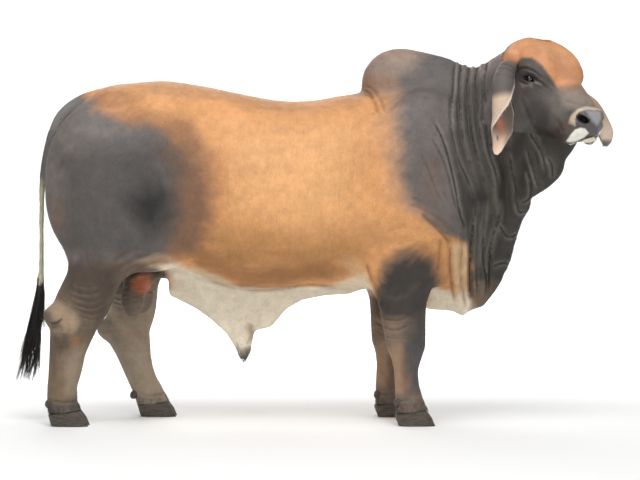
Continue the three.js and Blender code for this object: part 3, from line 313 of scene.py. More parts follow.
def read_normals(piece):
    flat = np.empty(len(piece.data.vertices) * 3, np.float32)
    piece.data.vertex_normals.foreach_get("vector", flat)
    return flat.reshape(-1, 3).astype(float)


def read_edges(piece):
    flat = np.empty(len(piece.data.edges) * 2, np.int32)
    piece.data.edges.foreach_get("vertices", flat)
    return flat.reshape(-1, 2)


def ramp(values, start, end):
    """0 before start, 1 after end, and smooth between."""
    t = np.clip((values - start) / (end - start), 0, 1)
    return t * t * (3 - 2 * t)


def relax(places, edges, rounds, strength=0.5):
    """Moves each point towards the mean of its neighbours, as many rounds as `rounds` says for it."""
    count = len(places)
    a, b = edges[:, 0], edges[:, 1]
    degree = np.bincount(a, minlength=count) + np.bincount(b, minlength=count)
    for turn in range(int(rounds.max())):
        share = np.clip(rounds - turn, 0, 1)[:, None] * strength
        total = np.stack([
            np.bincount(a, places[b, k], count) + np.bincount(b, places[a, k], count) for k in range(3)
        ], axis=1)
        places = places + (total / degree[:, None] - places) * share
    return places


BODY_ROUNDS = 55.0
LEG_ROUNDS = 22
HEAD_ROUNDS = 9
FOOT_ROUNDS = 3
LEG_TOP = 640
FOOT_TOP = 80
# The head ends at a slanting plane behind the poll and at the lower edge of the jaw.
POLL_AT = np.array([940.0, -26.0, 1588.0])
POLL_FACING = np.array([0.8824, -0.3929, -0.2588])
JAW_EDGE = np.array([(-600, -214), (60, -220), (200, -196), (330, -166), (400, -150), (700, -110)], float)


def head_share(places):
    """1 on the head, 0 on the neck and everything else."""
    local = to_head(places)
    ahead = ramp((places - POLL_AT) @ POLL_FACING, -14, 14)
    above = ramp(local[:, 2] - np.interp(local[:, 0], JAW_EDGE[:, 0], JAW_EDGE[:, 1]), -14, 14)
    return ahead * above


places = read_places(hide)
edges = read_edges(hide)
on_head = head_share(places)
rounds = np.full(len(places), BODY_ROUNDS)
rounds = np.where(places[:, 2] < LEG_TOP, LEG_ROUNDS, rounds)
rounds = rounds * (1 - on_head) + HEAD_ROUNDS * on_head
rounds = np.where(places[:, 2] < FOOT_TOP, FOOT_ROUNDS, rounds)
# the number of rounds is itself relaxed, so that it changes gently from part to part
spread = np.full(len(places), 6.0)
rounds = relax(rounds[:, None] + np.zeros((1, 3)), edges, spread)[:, 0]
places = relax(places, edges, rounds)
write_places(hide, places)
print("relaxed", len(places), "points")

# %% [markdown]
# ## Finer where the forms are finer
# The lids, the nostrils and the lips are a few millimetres thick. The grid is halved over the muzzle and
# halved twice round each eye, so that the next steps can press such forms into it.

# %% Halve the grid on the face
def eye_axes(side):
    """Centre, out, forwards and up of one eye, in the body's millimetres."""
    turn = np.stack([HEAD_U, HEAD_V, HEAD_W])
    # in the head's own axes
    out = np.array([0.42, side * 0.9, 0.1])
    out /= np.linalg.norm(out)
    along = np.array([1, 0, 0.3]) - out * (out @ np.array([1, 0, 0.3]))
    along /= np.linalg.norm(along)
    up = np.cross(out, along) * side
    up *= np.sign(up[2])
    return from_head(EYE[0], side * EYE[1], EYE[2]), out @ turn, along @ turn, up @ turn


def eye_view(places, side):
    """Forwards, up and out from one eye's centre."""
    centre, out, along, up = eye_axes(side)
    off = places - centre
    return np.stack([off @ along, off @ up, off @ out], axis=-1)


def near_eye(places, reach):
    inside = np.zeros(len(places), bool)
    for side in (-1, 1):
        seen = eye_view(places, side)
        inside |= (np.hypot(seen[:, 0], seen[:, 1]) < reach) & (seen[:, 2] > -12) & (seen[:, 2] < 60)
    return inside


def on_muzzle(places):
    local = to_head(places)
    return (local[:, 0] > 305) & (local[:, 2] > -190)


def halve(piece, chosen):
    """Cuts every edge of the chosen faces in two."""
    shape = bmesh.new()
    shape.from_mesh(piece.data)
    shape.faces.ensure_lookup_table()
    centres = millimetres([face.calc_center_median() for face in shape.faces])
    picked = chosen(centres)
    rim = {edge for face, hit in zip(shape.faces, picked) if hit for edge in face.edges}
    bmesh.ops.subdivide_edges(shape, edges=list(rim), cuts=1, use_grid_fill=True)
    shape.to_mesh(piece.data)
    shape.free()


halve(hide, lambda centres: on_muzzle(centres) | near_eye(centres, 48))
halve(hide, lambda centres: near_eye(centres, 38))
places = read_places(hide)
edges = read_edges(hide)
fresh = near_eye(places, 60) | on_muzzle(places)
places = relax(places, edges, fresh * 3.0)
print("hide now", len(places), "vertices")

# %% [markdown]
# ## Folds
# A bull's neck hangs in pleats and its brisket in heavy folds. Each is one line as the camera sees it,
# with a depth and a width. A sculptor would press them in by hand. Lines in code do the same, and can be
# moved one by one. First come the pleats of the neck, from its crest to the brisket, and the folds of the
# dewlap.

# %% Lines of neck and dewlap
# Rows: run of pixels, depth and half width in millimetres, rise of the skin beside it.
NECK_FOLDS = [
    ([(455.5, 52), (453.7, 70), (452.4, 90), (450.5, 109), (451.6, 132), (459, 161), (470, 186),
      (477, 209)], 8, 5.5, 3.0),
    ([(462, 50), (460, 70), (458.5, 90), (459.5, 117), (463.7, 143), (473.5, 177),
      (478.7, 201)], 10, 5.5, 4.0),
    ([(471, 50), (469, 69), (466.8, 86), (467.6, 106), (470, 127), (474.7, 151), (482.6, 177),
      (487, 200)], 11, 5.5, 4.5),
    ([(479.5, 48), (477.4, 68), (475.3, 82), (476.8, 106), (478.7, 130), (482.6, 148), (491.8, 177),
      (495.3, 214), (499, 230)], 11, 6, 4.5),
    ([(488.5, 46), (486.6, 66), (484, 82), (485.8, 106), (486.6, 135), (489, 154), (496, 175),
      (500, 196)], 8, 6, 4.0),
    ([(430, 117), (440.5, 135), (448.4, 159), (455, 188), (459, 211), (463, 225), (463, 242)], 6, 5.5, 2.5),
    ([(430, 135), (438, 150), (446, 167), (452.4, 193), (457.6, 214)], 4, 6, 2.0),
    ([(419, 150), (427, 168), (436, 190), (446, 208)], 2.5, 7, 1.0),
]
DEWLAP_FOLDS = [
    ([(477.4, 198), (472.5, 230), (469.5, 267), (470.8, 306)], 17, 7, 6.0),
    ([(486.6, 196), (484, 230), (482.6, 256), (486.6, 282), (484, 303)], 9, 6, 4.5),
    ([(499.7, 196), (499, 219), (491.8, 240), (489, 267), (488.4, 296)], 14, 6.5, 6.0),
    ([(478, 215), (477, 240), (476, 270), (478, 300)], 5, 5, 2.5),
    ([(527, 170), (531, 186), (529, 199), (519, 204)], 8, 5.5, 4.0),
    ([(516, 200), (519, 212), (527, 211)], 6, 5, 3.0),
    ([(499, 225), (508, 237), (519, 233)], 6, 6, 3.0),
    ([(492, 267), (503, 263), (513, 266)], 6, 6, 3.0),
    ([(508, 150), (512, 172), (516, 190), (515, 206)], 6, 6, 3.0),
    ([(515.5, 84), (517, 97), (522, 114), (531, 135), (541.8, 154), (546, 177)], 7, 5, 3.5),
    ([(524, 100), (528.7, 117), (535, 135), (539, 148)], 4, 5, 2.0),
    ([(527, 148), (531, 163), (535, 177), (540, 191)], 7, 5.5, 3.5),
    ([(546, 156), (552, 166), (552, 180)], 6, 6, 3.0),
    ([(506, 96), (508, 125), (508, 150)], 4, 6, 2.0),
]
print("neck and dewlap", len(NECK_FOLDS) + len(DEWLAP_FOLDS), "folds")

# %% [markdown]
# The skin of the shoulder gathers above the foreleg. Over the ribs it only waves, too softly to show a
# dark line. In the flank it hangs from the thigh to the sheath.

# %% Lines of shoulder, ribs and flank
SHOULDER_FOLDS = [
    ([(361.5, 90), (369, 93.6), (375, 103.5), (378, 116)], 7, 5, 3.0),
    ([(363, 86), (372, 90), (380, 99), (385, 114)], 4, 5, 2.0),
    ([(420, 213), (434, 226), (444, 236), (452, 246)], 6, 6, 3.0),
    ([(414, 205), (430, 214), (444, 224), (455, 236)], 4.5, 6, 2.0),
    ([(408, 196), (424, 205), (440, 213), (454, 224)], 3, 6, 1.5),
    ([(463, 238), (461, 267), (463, 293), (466, 311)], 9, 6, 5.0),
    ([(451, 244), (449.7, 267), (452.4, 290), (455, 304)], 9, 6, 4.5),
    ([(441, 238), (438.5, 262), (435.5, 288)], 6, 7, 3.0),
    ([(366, 262), (370, 276), (376, 290), (379, 304)], 7, 6, 3.0),
]
# Too soft to take a colour of their own
SOFT_FOLDS = [
    ([(352, 150), (356, 180), (357, 210), (354, 238)], 1.5, 12, 0.6),
    ([(372, 180), (366, 205), (365, 228), (368, 250)], 3.0, 14, 1.0),
    ([(384, 236), (396, 229), (411, 229), (424, 236)], 2.0, 8, 1.0),
    ([(225, 140), (226, 180), (224, 215)], 1.2, 9, 0.5),
    ([(243, 130), (245, 175), (243, 220)], 1.4, 9, 0.5),
    ([(262, 135), (265, 180), (264, 230)], 1.2, 9, 0.5),
    ([(281, 132), (284, 178), (284, 232)], 1.4, 9, 0.5),
    ([(300, 135), (303, 180), (302, 236)], 1.2, 9, 0.5),
    ([(318, 130), (322, 176), (322, 238)], 1.4, 9, 0.5),
    ([(337, 128), (341, 176), (341, 236)], 1.2, 9, 0.5),
]
FLANK_FOLDS = [
    ([(120, 281), (131, 273), (143, 266), (158, 262), (176, 263)], 6, 8, 4.0),
    ([(118, 270), (128, 263), (140, 258), (152, 255)], 4, 6, 2.0),
    ([(112, 264), (121, 257), (131, 251), (142, 247)], 3, 6, 2.0),
    ([(235, 289.5), (262, 290.5), (290, 288), (310, 284.5), (345, 290)], 6, 7, 2.0),
    ([(198, 274), (212, 281), (226, 286), (240, 289)], 4, 6, 2.0),
    ([(246, 345), (250, 338), (252, 329)], 4, 6, 2.0),
]
print("trunk", len(SHOULDER_FOLDS) + len(SOFT_FOLDS) + len(FLANK_FOLDS), "folds")

# %% [markdown]
# On the legs the skin creases level above hock, knee and hoof, where it gives when the joint bends.
# Between the creases bones and tendons stand out. Those are low swellings and hollows, with a middle, two
# radii and a height.

# %% Creases and bones
LEG_FOLDS = [
    ([(72, 283), (80, 286), (90, 287), (99, 285)], 2.5, 4, 1.5),
    ([(69, 289), (79, 293), (90, 294), (101, 291)], 3.5, 4, 2.0),
    ([(70, 295), (80, 299.5), (91, 301), (103, 297)], 3.5, 4, 2.0),
    ([(73, 302), (83, 307), (93, 308), (104, 303)], 4, 4, 2.5),
    ([(77, 309), (86, 313), (95, 314), (103, 309)], 3.5, 4, 2.5),
    ([(82, 316), (90, 319), (97, 318)], 3, 4, 2.0),
    ([(47, 321), (52, 323), (58, 322), (63, 318)], 6, 5, 3.0),
    ([(382, 317), (390, 320), (400, 320), (408, 316)], 4, 4, 2.5),
    ([(381, 325), (392, 330), (401, 329), (410, 324)], 4, 4, 2.5),
    ([(383, 335), (392, 338), (400, 338)], 3, 4, 2.0),
    ([(380, 294), (392, 298), (404, 296), (414, 288), (420, 278)], 2.5, 6, 1.5),
    ([(408, 352), (412, 362), (409, 372)], 2.5, 6, 1.0),
    ([(50, 400), (60, 402.5), (72, 402), (84, 399)], 3.5, 4, 2.5),
    ([(386, 398), (398, 401), (412, 400)], 3, 4, 2.0),
]
# Swellings and hollows of bone and tendon. Rows: middle and radii in pixels, height in millimetres.
LEG_RELIEF = [
    (54, 313, 8, 8, 8), (52, 326, 7, 5, -6), (64, 322, 5, 12, -5), (76, 330, 9, 9, 6), (72, 346, 6, 10, -3),
    (56, 360, 5, 24, 4), (65, 362, 4, 22, -4), (76, 368, 7, 24, 4), (62, 395, 9, 6, 4), (78, 393, 7, 6, 4),
    (92, 300, 12, 14, 5), (60, 295, 7, 12, 4), (68, 285, 5, 12, -4),
    (395, 283, 14, 20, 4), (422, 290, 6, 22, -3), (400, 332, 12, 9, 5), (418, 330, 6, 10, 4),
    (398, 352, 9, 6, -4),
    (392, 370, 5, 20, 3), (403, 370, 4, 20, -3), (414, 370, 7, 20, 3), (400, 392, 12, 6, 4),
]
FACE_RELIEF = [
    (527, 67, 9, 3.5, 4), (549, 92, 12, 5, 4), (536, 96, 6, 6, -3), (532, 112, 12, 14, 4),
    (557, 110, 6, 10, -3),
    (562, 131, 6, 7, 4), (577, 132, 7, 4, 2), (586, 100, 8, 4, 3), (548, 140, 8, 4, -4),
    (527, 88.5, 6, 2.5, 2.5),
    (517, 78, 3, 6, -2), (556, 84, 5, 5, -2), (570, 70, 8, 14, 3), (548, 55, 14, 8, 3), (525, 50, 12, 8, 3),
]
TRUNK_RELIEF = [
    (365, 215, 12, 32, 6), (392, 200, 20, 40, 6), (352, 225, 8, 25, -4), (420, 150, 16, 40, 5),
    (385, 150, 10, 26, -4),
    (150, 140, 22, 22, 4), (118, 170, 14, 30, -4), (90, 190, 22, 34, 4), (138, 215, 12, 24, -5),
    (172, 235, 14, 24, 5),
    (190, 255, 14, 8, -5), (112, 262, 10, 14, -5), (240, 180, 20, 60, 3), (455, 265, 4, 24, 6),
    (445, 270, 3, 20, 4),
    (478, 260, 5, 34, 6), (497, 265, 6, 24, 6), (505, 240, 5, 12, -4), (523, 188, 6, 10, 6),
    (516, 213, 7, 6, 5),
]
FACE_FOLDS = [
    ([(516, 73), (520, 69.5), (526, 68.5), (532, 71), (538, 75.5), (543, 81)], 3.0, 4, 1.8),
    ([(519, 81), (524, 84), (529, 84.5)], 2.0, 3, 1.2),
    ([(521, 85), (526, 87.5), (531, 87)], 1.6, 3, 0.8),
    ([(514, 77), (516.5, 75.5), (519, 75.5)], 1.6, 3, 0.8),
    ([(514, 81), (517, 79.5), (519.5, 78)], 1.6, 3, 0.8),
    ([(533, 80.5), (538, 82.5), (543, 85.5)], 3.0, 3.5, 1.2),
    ([(541, 74), (549, 82), (556, 89)], 2.0, 6, 1.0),
    ([(556, 138), (561, 141.5), (567, 143.3), (574, 142.6), (584, 139), (592, 136.4),
      (603, 134.4)], 6.5, 3.2, 2.2),
    ([(563, 100), (572, 103), (583, 105), (595, 105)], 1.5, 5, 0.6),
    ([(557, 120), (560, 127), (565, 133)], 2.0, 5, 1.0),
    ([(538, 137), (546, 141), (554, 142)], 3.0, 6, 1.5),
    ([(520, 96), (526, 112), (533, 127), (541, 141)], 3.0, 6, 1.5),
]
print("legs", len(LEG_FOLDS), "creases, head", len(FACE_FOLDS), "creases")

# %% [markdown]
# The point nearest a line goes in most, and the skin on either side is pushed up a little, as loose skin is.
# The far side gets the same folds, mirrored: there every point is looked up as if it lay on the near side.

# %% Press the folds in
def rounded(run, steps=4):
    """More points along a run, on a smooth curve through it."""
    run = np.asarray(run, float)
    padded = np.vstack([2 * run[0] - run[1], run, 2 * run[-1] - run[-2]])
    dense = []
    for i in range(1, len(padded) - 2):
        p0, p1, p2, p3 = padded[i - 1:i + 3]
        for t in np.linspace(0, 1, steps, endpoint=False):
            curve = 2 * p1 + (p2 - p0) * t + (2 * p0 - 5 * p1 + 4 * p2 - p3) * t ** 2
            dense.append(0.5 * (curve + (3 * p1 - p0 - 3 * p2 + p3) * t ** 3))
    return np.array(dense + [run[-1]])


def distance_to_run(points, run):
    """Distance from each point to a polyline, and how far along it, 0 to 1."""
    lengths = np.hypot(*(run[1:] - run[:-1]).T)
    total = lengths.sum()
    best = np.full(len(points), 1e9)
    along = np.zeros(len(points))
    start = 0.0
    for a, b, length in zip(run[:-1], run[1:], lengths):
        t = np.clip(((points - a) @ (b - a)) / length ** 2, 0, 1)
        far = np.hypot(*(points - a - t[:, None] * (b - a)).T)
        closer = far < best
        best = np.where(closer, far, best)
        along = np.where(closer, (start + t * length) / total, along)
        start += length
    return best, along


def close_to(points, corners, margin):
    """Which points lie in the box round some corners."""
    low = np.min(corners, axis=0) - margin
    high = np.max(corners, axis=0) + margin
    return np.flatnonzero(((points >= low) & (points <= high)).all(axis=1))


def near_side(places):
    """Every place with the far half mirrored onto the near one. The head mirrors about its own middle."""
    local = to_head(places)
    local[:, 1] = -np.abs(local[:, 1])
    mirrored_head = HEAD_AT + local @ np.stack([HEAD_U, HEAD_V, HEAD_W])
    mirrored = places.copy()
    mirrored[:, 1] = -np.abs(places[:, 1])
    share = head_share(places)[:, None]
    return np.where(share > 0.5, mirrored_head, mirrored)


def leg_pixels(places):
    """The near leg's pixels for either leg. The far ones stand further on or back, more so at the foot."""
    far = (places[:, 1] > 90) & (places[:, 2] < 660)
    lean = np.clip(1 - places[:, 2] / LEG_TOP, 0, 1)
    moved = places.copy()
    moved[:, 1] = -np.abs(places[:, 1])
    moved[:, 0] += np.where(far, np.where(places[:, 0] > 0, 80 * lean, -355 * lean - 60), 0)
    return pixel(moved)


def swell(places, normals, seen, spots, mask):
    """Raises or sinks round spots, along the normals."""
    for x, y, wide, high, rise in spots:
        far = np.sqrt(((seen[:, 0] - x) / wide) ** 2 + ((seen[:, 1] - y) / high) ** 2)
        places = places + normals * (rise * np.exp(-(far * 1.3) ** 2) * mask)[:, None]
    return places


def pinch_sheath(places):
    """The sheath narrows to a point below, which the solid's rounded end doesn't show."""
    x, y, z = places.T
    on = (z < 450) & (np.abs(y) < 90) & (x > -380) & (x < -120)
    share = np.where(on, 0.5 * ramp(-z, -440, -275), 0)
    places = places.copy()
    places[:, 0] += (-250 - x) * share
    places[:, 1] += (0 - y) * share * 0.8
    return places


PIXEL_MM = 4.4


def press(places, normals, seen, folds, mask):
    """A narrow crease in a broad shallow valley, with the skin raised on both sides."""
    places = places.copy()
    for run, depth, half, rise in folds:
        run = rounded(run)
        some = close_to(seen, run, 10)
        far, along = distance_to_run(seen[some], run)
        far = far * PIXEL_MM
        ends = ramp(along, 0.0, 0.12) * (1 - ramp(along, 0.85, 1.0))
        crease = -0.7 * depth * np.exp(-(far / half) ** 2)
        valley = -0.45 * depth * np.exp(-(far / (2.2 * half)) ** 2)
        bank = rise * np.exp(-((far - 3.0 * half) / (1.5 * half)) ** 2)
        places[some] += normals[some] * ((crease + valley + bank) * ends * mask[some])[:, None]
    return places


places = pinch_sheath(places)
write_places(hide, places)
normals = read_normals(hide)
sideways = ramp(np.abs(normals[:, 1]), 0.10, 0.35)
on_head = head_share(places)
seen = pixel(near_side(places))
on_leg = leg_pixels(places)
limb = ramp(np.abs(places[:, 1]), 70, 110) * (1 - ramp(places[:, 2], 700, 780)) * (1 - on_head)
far_leg = ramp(places[:, 1], 40, 80) * (1 - ramp(places[:, 2], 600, 660))
trunk = sideways * (1 - on_head) * (1 - far_leg)
places = swell(places, normals, seen, TRUNK_RELIEF, trunk)
places = swell(places, normals, on_leg, LEG_RELIEF, limb * sideways)
over_crest = ramp(np.abs(normals[:, 1]), 0.01, 0.12) * (1 - on_head)
places = press(places, normals, seen, NECK_FOLDS, over_crest)
places = press(places, normals, seen, DEWLAP_FOLDS + SHOULDER_FOLDS + FLANK_FOLDS + SOFT_FOLDS, trunk)
places = press(places, normals, on_leg, LEG_FOLDS, limb * sideways)
face_side = ramp((normals @ HEAD_V) * np.sign(to_head(places)[:, 1]), -0.05, 0.2)
places = swell(places, normals, seen, FACE_RELIEF, on_head * face_side)
places = press(places, normals, seen, FACE_FOLDS, on_head * face_side)
places = relax(places, edges, (1 - on_head) * 1.0)
print("folds pressed in")

# %% [markdown]
# ## Eyes
# The lids are the hide itself, stretched over a ball a little larger than the eye, and open in an almond.
# Inside the almond the hide sinks behind the eyeball, which is a solid of its own. So the eye sits as
# deep as a real one, with its lids on it.

# %% Open the lids
LID_RADIUS = 24.5
SOCKET_RADIUS = 15.0
ALMOND = np.array([
    (-25, -1), (-19, 7), (-8, 12.5), (4, 13), (14, 8), (22, 0), (28, -8), (19, -9), (8, -12.5), (-5, -13),
    (-17, -9),
])


def polygon_distance(points, corners):
    """Distance to the edge of a polygon, negative inside."""
    corners = np.asarray(corners, float)
    best = np.full(len(points), 1e9)
    inside = np.zeros(len(points), bool)
    for a, b in zip(corners, np.roll(corners, -1, axis=0)):
        t = np.clip(((points - a) @ (b - a)) / ((b - a) @ (b - a)), 0, 1)
        best = np.minimum(best, np.hypot(*(points - a - t[:, None] * (b - a)).T))
        crosses = (a[1] > points[:, 1]) != (b[1] > points[:, 1])
        with np.errstate(divide="ignore", invalid="ignore"):
            at = a[0] + (points[:, 1] - a[1]) / (b[1] - a[1]) * (b[0] - a[0])
        inside ^= crosses & (points[:, 0] < at)
    return np.where(inside, -best, best)


def open_eyes(places):
    """Lifts the hide onto a ball round each eye, and sinks it behind the eyeball inside the almond."""
    for side in (-1, 1):
        centre, out, along, up = eye_axes(side)
        seen = eye_view(places, side)
        across = np.hypot(seen[:, 0], seen[:, 1])
        close = (across < 60) & (seen[:, 2] > -14) & (seen[:, 2] < 60)
        dome = np.sqrt(np.maximum(LID_RADIUS ** 2 - across ** 2, 0))
        fade = 1 - ramp(across, 20, 40)
        lifted = np.maximum(seen[:, 2], dome)
        target = seen[:, 2] * (1 - fade) + lifted * fade
        gap = polygon_distance(seen[:, :2], ALMOND)
        sunk = np.sqrt(np.maximum(SOCKET_RADIUS ** 2 - across ** 2, 0))
        inside = 1 - ramp(gap, -1.2, 1.0)
        target = target * (1 - inside) + np.minimum(target, sunk) * inside
        shift = np.where(close, target - seen[:, 2], 0)
        places = places + shift[:, None] * out
    return places


places = open_eyes(places)
write_places(hide, places)
print("eyes open")

# %% [markdown]
# ## Fewer triangles where nothing happens
# The fine grid has far more triangles than the flat parts need. Decimate takes points away where that
# changes the shape least. A vertex group holds it off the face, where the lids and the lips need theirs.

# %% Thin out
HIDE_TRIANGLES = 190000


def thin_out(piece, target):
    """Takes points out of the flat parts. The face keeps nearly all of its own."""
    points = read_places(piece)
    local = to_head(points)
    keep = piece.vertex_groups.new(name="keep")
    weight = 1 - 0.97 * np.maximum(head_share(points) * ramp(local[:, 0], -20, 40), 0)
    weight = np.maximum(weight, 0.02)
    for level in np.unique(weight.round(1)):
        keep.add(np.flatnonzero(weight.round(1) == level).tolist(), float(max(level, 0.02)), "REPLACE")
    triangles = sum(len(face.vertices) - 2 for face in piece.data.polygons)
    activate(piece)
    thin = piece.modifiers.new("thin", "DECIMATE")
    thin.ratio = min(1, target / triangles)
    thin.vertex_group = "keep"
    thin.vertex_group_factor = 1.0
    bpy.ops.object.modifier_apply(modifier="thin")
    piece.vertex_groups.clear()
    return triangles


before = thin_out(hide, HIDE_TRIANGLES)
bpy.ops.object.shade_smooth()
after = sum(len(face.vertices) - 2 for face in hide.data.polygons)
print("hide", before, "->", after, "triangles")

# %% [markdown]
# ## Markings
# The bull is red-tan over back and ribs. Head, neck, shoulders and hindquarters are slate grey, nearly
# black low down, the belly and sheath are cream, and the forehead is orange. The lower flank, the edge of
# the belly and the lower neck are darkened partly by painted shade, and a hollow of the thigh is painted
# dark as shade. Each marking is an area with a soft edge, laid over the one before, as thin paint is.
# They are drawn as the camera sees them, like the folds.

# %% Marks of the trunk
def linear(code):
    """A web colour as the linear red, green and blue that a material takes."""
    values = np.array([int(code[i:i + 2], 16) / 255 for i in (1, 3, 5)])
    return np.where(values <= 0.04045, values / 12.92, ((values + 0.055) / 1.055) ** 2.4)


RED_TAN = "#cd935f"
RIB_TAN = "#d9a26e"
FLANK_BROWN_AND_SHADE = "#b27f4c"
BELLY_EDGE_BROWN_AND_SHADE = "#8a5c33"
SLATE = "#696462"
CHARCOAL = "#423f3d"
MAUVE = "#92684c"
CREAM = "#e0d4be"
ORANGE = "#c2875d"
PINK = "#c67f5c"

# Rows: outline in pixels, softness of its edge in pixels, colour, share of it.
TRUNK_MARKS = [
    ([(96, 70), (200, 70), (370, 70), (366, 101), (335, 108), (290, 112), (240, 108), (180, 98),
      (100, 97)], 6, "#b4835b", 0.7),
    # partly the flank's own brown and partly painted shade on the lower flank
    ([(178, 215), (205, 258), (260, 282), (330, 280), (365, 255), (372, 228), (300, 232),
      (230, 218)], 20, FLANK_BROWN_AND_SHADE, 0.75),
    # partly brown and partly painted shade where the barrel turns under
    ([(185, 262), (215, 279), (240, 289), (290, 288), (340, 282), (352, 270), (300, 268), (250, 268),
      (205, 250)], 8, BELLY_EDGE_BROWN_AND_SHADE, 0.7),
    ([(240, 130), (345, 130), (350, 215), (300, 228), (235, 212), (225, 160)], 26, RIB_TAN, 0.8),
    ([(205, 150), (222, 150), (225, 215), (212, 235), (196, 215)], 10, "#bd8457", 0.55),
    # hindquarters
    ([(100, 96), (150, 110), (190, 122), (208, 160), (212, 205), (200, 250), (176, 264), (150, 262),
      (120, 200)], 13, MAUVE, 0.8),
    ([(86, 103), (98, 110), (112, 118), (128, 122), (150, 124), (166, 138), (178, 165), (182, 200),
      (176, 230), (160, 256), (138, 285), (105, 345), (20, 345), (20, 60), (86, 60)], 9, SLATE, 0.97),
    ([(164, 145), (190, 150), (206, 180), (207, 215), (198, 246), (178, 258), (166, 232),
      (176, 195)], 12, "#6e5341", 0.75),
    ([(60, 150), (110, 140), (150, 150), (172, 180), (176, 215), (150, 250), (100, 262), (60, 250),
      (50, 200)], 18, CHARCOAL, 0.75),
    # painted shade in the hollow of the thigh in front of the stifle
    ([(130, 198), (146, 190), (162, 194), (169, 206), (164, 220), (148, 226),
      (134, 216)], 16, "#1b1a19", 0.98),
    ([(48, 195), (60, 195), (68, 212), (62, 232), (48, 230)], 8, "#705847", 0.6),
    ([(52, 238), (80, 262), (112, 262), (120, 250), (100, 310), (60, 320), (48, 290)], 12, "#4f433a", 0.75),
    # hump
    ([(356, 97), (356, 60), (372, 40), (460, 40), (470, 80), (452, 100), (425, 95), (400, 98),
      (385, 92)], 8, "#82746b", 0.95),
    ([(356, 97), (358, 80), (375, 76), (398, 80), (402, 94), (385, 97)], 9, "#8f6c54", 0.75),
    ([(372, 40), (450, 40), (452, 66), (420, 60), (392, 62)], 7, "#917b6d", 0.7),
    # shoulder and neck
    ([(385, 95), (402, 82), (470, 62), (470, 240), (432, 232), (408, 214), (392, 185),
      (388, 140)], 16, "#8a7466", 0.85),
    ([(402, 78), (455, 20), (530, 20), (640, 20), (640, 320), (474, 320), (470, 255), (446, 242), (424, 224),
      (408, 200), (402, 160), (398, 115)], 9, "#5b5654", 0.95),
    # partly the neck's own near-black and partly painted shade on the lower neck and dewlap
    ([(462, 85), (490, 70), (540, 100), (600, 130), (540, 320), (476, 320), (470, 250), (462, 230),
      (452, 200), (448, 150)], 9, "#34312d", 0.93),
    ([(458, 120), (478, 110), (500, 130), (512, 190), (508, 250), (490, 300), (474, 300),
      (466, 200)], 10, "#2f2c28", 0.5),
    ([(470, 190), (486, 190), (489, 230), (488, 300), (472, 300), (470, 240)], 4, "#23211f", 0.7),
    ([(424, 165), (440, 160), (446, 200), (436, 212), (424, 195)], 8, "#6b5143", 0.5),
    # brisket
    ([(404, 212), (420, 216), (440, 232), (456, 240), (466, 244), (469, 262), (470, 290), (472, 322),
      (440, 322),
      (424, 300), (420, 270), (404, 250), (384, 246), (366, 250), (366, 232)], 4, "#c08a58", 0.95),
    ([(424, 236), (440, 250), (447, 275), (440, 292), (426, 290), (422, 262)], 6, "#a06a40", 0.6),
    ([(453, 246), (466, 244), (469, 270), (471, 322), (454, 322), (452, 290)], 3, "#cfae88", 0.85),
    ([(424, 293), (436, 288), (448, 290), (456, 296), (462, 290), (472, 300), (474, 325),
      (420, 322)], 4, CREAM, 0.92),
    ([(471, 282), (489, 284), (488, 312), (472, 312)], 4, "#7a6450", 0.75),
    ([(488, 280), (500, 284), (496, 302), (488, 300)], 4, "#5b4c40", 0.7),
    # belly, sheath and flank
    ([(150, 268), (168, 261), (182, 264), (202, 273), (225, 284), (240, 290), (290, 288.5), (310, 285),
      (345, 290), (362, 289), (362, 310), (320, 350), (250, 400), (180, 360), (140, 300)], 3, CREAM, 0.97),
    ([(168, 261), (182, 262), (205, 270), (235, 282), (232, 287), (205, 278),
      (182, 268)], 3, "#cbb597", 0.8),
    ([(152, 274), (166, 272), (172, 282), (168, 292), (152, 292)], 6, PINK, 0.6),
    ([(234, 351), (246, 346), (256, 349), (256, 364), (232, 364)], 4, "#615a54", 0.9),
    ([(245, 322), (256, 318), (257, 340), (250, 342)], 4, "#8d6f52", 0.7),
    ([(116, 283), (124, 272), (142, 262), (160, 256), (178, 261), (162, 267), (144, 271),
      (128, 281)], 3, "#a88d72", 0.75),
    ([(330, 283), (345, 278), (358, 274), (366, 272), (372, 286), (380, 300), (376, 304), (362, 294),
      (345, 292)], 3, "#dccbb0", 0.9),
    ([(345, 262), (360, 262), (368, 276), (350, 277)], 5, "#d3ac80", 0.6),
    ([(108, 262), (122, 262), (160, 268), (166, 272), (160, 330), (108, 330)], 3, "#62554a", 0.97),
    ([(131, 277), (140, 274), (150, 277), (148, 292), (140, 294), (133, 288)], 4, "#b2633f", 0.8),
]
print("trunk", len(TRUNK_MARKS), "marks")

# %% [markdown]
# The legs are dark above and brown below, with paler bone under thin skin. The point of the hock has
# painted light on it, and the hollow under it painted shade. The face is dark round the eye and pale round
# the nose. The cheek has a painted sheen, with painted shade behind and under it, and the top of the nose
# pad has a painted highlight. The nose pad is bare wet skin, so its outline has a name and is used again
# for its finish.

# %% Marks of legs and face
FORELEG_MARKS = [
    ([(372, 300), (376, 280), (382, 262), (392, 250), (404, 246), (418, 247), (430, 255), (437, 268),
      (438, 300),
      (436, 450), (362, 450), (362, 330)], 5, "#6b5545", 0.95),
    ([(376, 302), (379, 286), (386, 272), (395, 263), (406, 259), (418, 260), (430, 268), (434, 285),
      (432, 316),
      (416, 322), (384, 318)], 4, "#33302d", 0.95),
    ([(376, 318), (430, 316), (430, 348), (380, 350)], 8, "#5e5046", 0.85),
    ([(384, 324), (398, 322), (404, 345), (396, 352), (385, 345)], 6, "#8d7764", 0.55),
    ([(410, 318), (430, 318), (430, 350), (412, 350)], 5, "#43403e", 0.8),
    ([(384, 350), (400, 348), (403, 394), (386, 398)], 5, "#a0836a", 0.8),
    ([(407, 345), (430, 345), (430, 397), (408, 397)], 5, "#4c4a4b", 0.9),
    ([(386, 394), (430, 394), (432, 425), (386, 425)], 7, "#675d55", 0.7),
]
